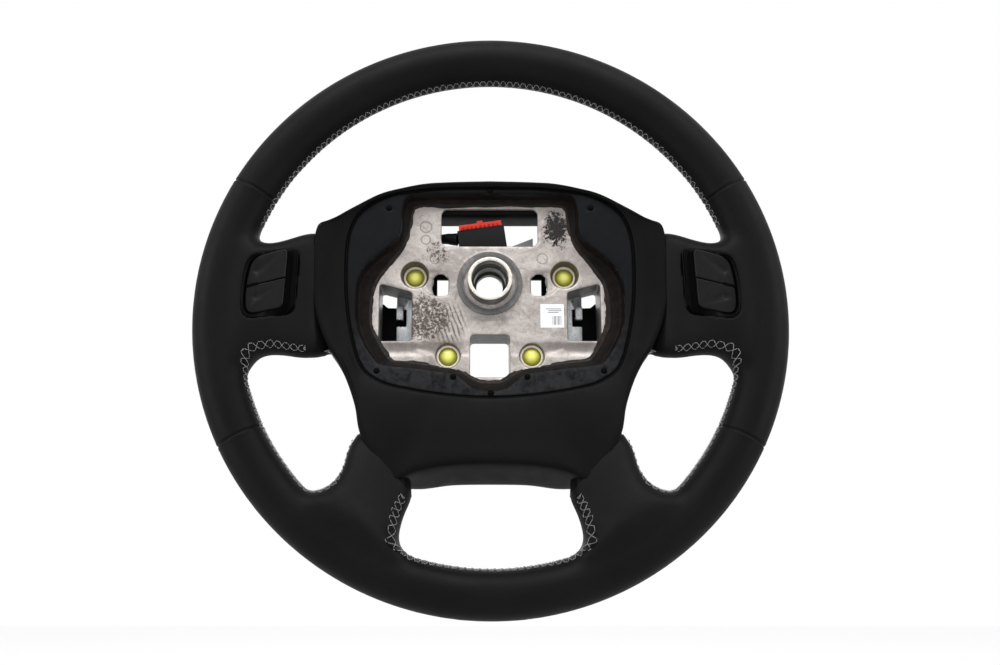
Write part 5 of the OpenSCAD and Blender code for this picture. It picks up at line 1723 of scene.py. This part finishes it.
def shrunk(points, d, hub_side):
    """An outline drawn in by a distance, and by more on the side of the hub (mm)."""
    p = np.array(points)
    t = np.roll(p, -1, 0) - p
    t /= np.maximum(np.linalg.norm(t, axis=1), 1e-9)[:, None]
    n = np.stack([-t[:, 1], t[:, 0]], 1)
    both = n + np.roll(n, 1, 0)
    both /= np.maximum(np.linalg.norm(both, axis=1), 0.5)[:, None]
    extra = hub_side * np.clip(-both[:, 0], 0, 1) ** 2
    return p - both * (d + extra)[:, None]


def button_cap(node, name, side, upper):
    """A button with a rounded edge and a dimple, on the stem of the CAD's button."""
    flat = button_outline(upper)
    area = sum(a[0] * b[1] - b[0] * a[1] for a, b in zip(flat, flat[1:] + flat[:1]))
    if area > 0:
        flat = flat[::-1]
    rings = [[(side * q[0] * mm, -y * mm, q[1] * mm) for q in shrunk(flat, float(d), hub)]
             for d, hub, y in CAP_ROWS]
    cap = recalculated(loft(name, rings))
    x, z = UPPER_DIMPLE if upper else LOWER_DIMPLE
    bpy.ops.object.select_all(action="DESELECT")
    bpy.ops.mesh.primitive_uv_sphere_add(segments=96, ring_count=64, radius=BALL_RADIUS,
                                         location=(side * x * mm, -BALL_FORWARD, z * mm))
    ball = settle(bpy.context.active_object)
    apply(cap, "BOOLEAN", object=ball, operation="DIFFERENCE", solver="EXACT")
    bpy.data.objects.remove(ball)
    stem = clipped(node, "stem", [
        ((0, -STEM_FRONT, 0), (0, -1, 0)), ((side * STEM_INNER, 0, 0), (-side, 0, 0)),
        ((side * STEM_OUTER, 0, 0), (side, 0, 0))])
    joined(cap, stem)
    return smooth_shade(cap, 30)


def pod_skirt(name, side, tree):
    """The black wall that slopes from the buttons down to the leather, and hides its cut edge."""
    inner, outer = pod_ring(0.3), pod_edge(1.9)
    centre = outer.mean(axis=0)
    rings = [[], [], [], [], []]
    for q, w in zip(inner, outer):
        # The leather's height a little outside the wall's foot
        far = w + unit(w - centre) * 2.2
        hit = tree.ray_cast(Vector((side * far[0] * mm, -0.1, far[1] * mm)), Vector((0, 1, 0)))[0]
        y = 50.0 if hit is None else -hit.y / mm
        top = min(54.2, y + 12)
        middle = q * 0.7 + w * 0.3
        foot = 44.5 if y > 46 else y - 1.5
        wall = ((q, 45.6), (q, top), (middle, top * 0.62 + y * 0.38), (w, y + 0.12), (w, foot))
        for ring, ((x, z), depth) in zip(rings, wall):
            ring.append((side * x * mm, -depth * mm, z * mm))
    return smooth_shade(recalculated(loft(name, rings, closed_path=True)), 50)


class WHEEL_OT_switches(Build, bpy.types.Operator):
    """Eases the pods' bezels and buttons and finishes what is sealed inside"""
    bl_idname = "wheel.switches"
    bl_label = "Thumb switches"

    def execute(self, context):
        s = settings().switch
        button = finish("button", plastic_finish, s.button, 0.4, 0.00004, specular=0.12)
        bezel = finish("bezel", plastic_finish, (0.0009, 0.0009, 0.0009), 0.5, 0.00004, specular=0.04)
        covers = bm_tree([bpy.data.objects["cover_" + n] for n in ("top", "right", "left", "bottom")])
        for name in ("upper_left", "lower_left", "upper_right", "lower_right"):
            o = button_cap("button_" + name, "key_" + name, 1 if "right" in name else -1, "upper" in name)
            finished(o, button, "button", "button_" + name, body="button_" + name)
        for side in ("left", "right"):
            node = "switch_bezel_" + side
            finished(eased(node, "rim_" + side, 0.0006, 3, 40), bezel, "bezel", node)
            skirt = pod_skirt("pod_skirt_" + side, 1 if side == "right" else -1, covers)
            finished(skirt, bezel, "bezel")
            for node, rgb, rough, clear in (("switch_housing_", (0.014, 0.014, 0.014), 0.5, 0),
                                            ("switch_board_", (0.02, 0.12, 0.05), 0.35, 0.4),
                                            ("dome_mat_", (0.5, 0.5, 0.47), 0.55, 0)):
                slot = frame["nodes"][node + side].material_slots[0]
                slot.material = finish(node + "finish", plastic_finish, rgb, rough, clear=clear)
        return {"FINISHED"}


class WHEEL_OT_leads(Build, bpy.types.Operator):
    """Lays the taped leads and finishes the connector, its lock and the tag"""
    bl_idname = "wheel.leads"
    bl_label = "Leads and connector"

    def execute(self, context):
        s = settings().switch
        tape = finish("tape", plastic_finish, (0.0032, 0.0032, 0.0034), 0.5, 0.00012, specular=0.1)
        finished(lead_mesh("lead_right", RIGHT_LEAD, 0.0005), tape, "lead", "switch_lead_right")
        finished(lead_mesh("lead_left", LEFT_LEAD, 0.0030), tape, "lead", "switch_lead_left")
        housing = finish("connector", plastic_finish, s.connector, 0.38, specular=0.12)
        finished(eased("connector_housing", "connector", 0.0006, 3, 40), housing, "connector",
                 "connector_housing")
        lock = finish("lock", plastic_finish, s.lock, 0.35)
        finished(eased("connector_lock", "lock", 0.00025, 2, 40), lock, "lock", "connector_lock")
        tag = finish("tag", plastic_finish, s.tag, 0.4)
        finished(eased("lead_tag", "tag", 0.0001, 1), tag, "tag", "lead_tag")
        return {"FINISHED"}


class WHEEL_PT_panel(bpy.types.Panel):
    """Lists the steps that build the wheel"""
    bl_idname = "WHEEL_PT_panel"
    bl_label = "Steering wheel"
    bl_space_type = "VIEW_3D"
    bl_region_type = "UI"
    bl_category = "Wheel"

    def draw(self, context):
        for step in STEPS:
            self.layout.operator(step.bl_idname)


STEPS = (WHEEL_OT_stage, WHEEL_OT_leather, WHEEL_OT_shroud, WHEEL_OT_casting, WHEEL_OT_switches,
         WHEEL_OT_leads)
CLASSES = (RimSettings, ThreadSettings, ShroudSettings, CastSettings, SwitchSettings, StageSettings,
           WheelSettings) + STEPS + (WHEEL_PT_panel,)


def register():
    for c in CLASSES:
        bpy.utils.register_class(c)
    bpy.types.Scene.wheel_settings = bpy.props.PointerProperty(type=WheelSettings)


def unregister():
    del bpy.types.Scene.wheel_settings
    for c in reversed(CLASSES):
        bpy.utils.unregister_class(c)


def main():
    register()
    bpy.ops.object.select_all(action="DESELECT")
    bpy.ops.wheel.stage()
    bpy.ops.wheel.leather()
    bpy.ops.wheel.shroud()
    bpy.ops.wheel.casting()
    bpy.ops.wheel.switches()
    bpy.ops.wheel.leads()


if __name__ == "__main__":
    main()
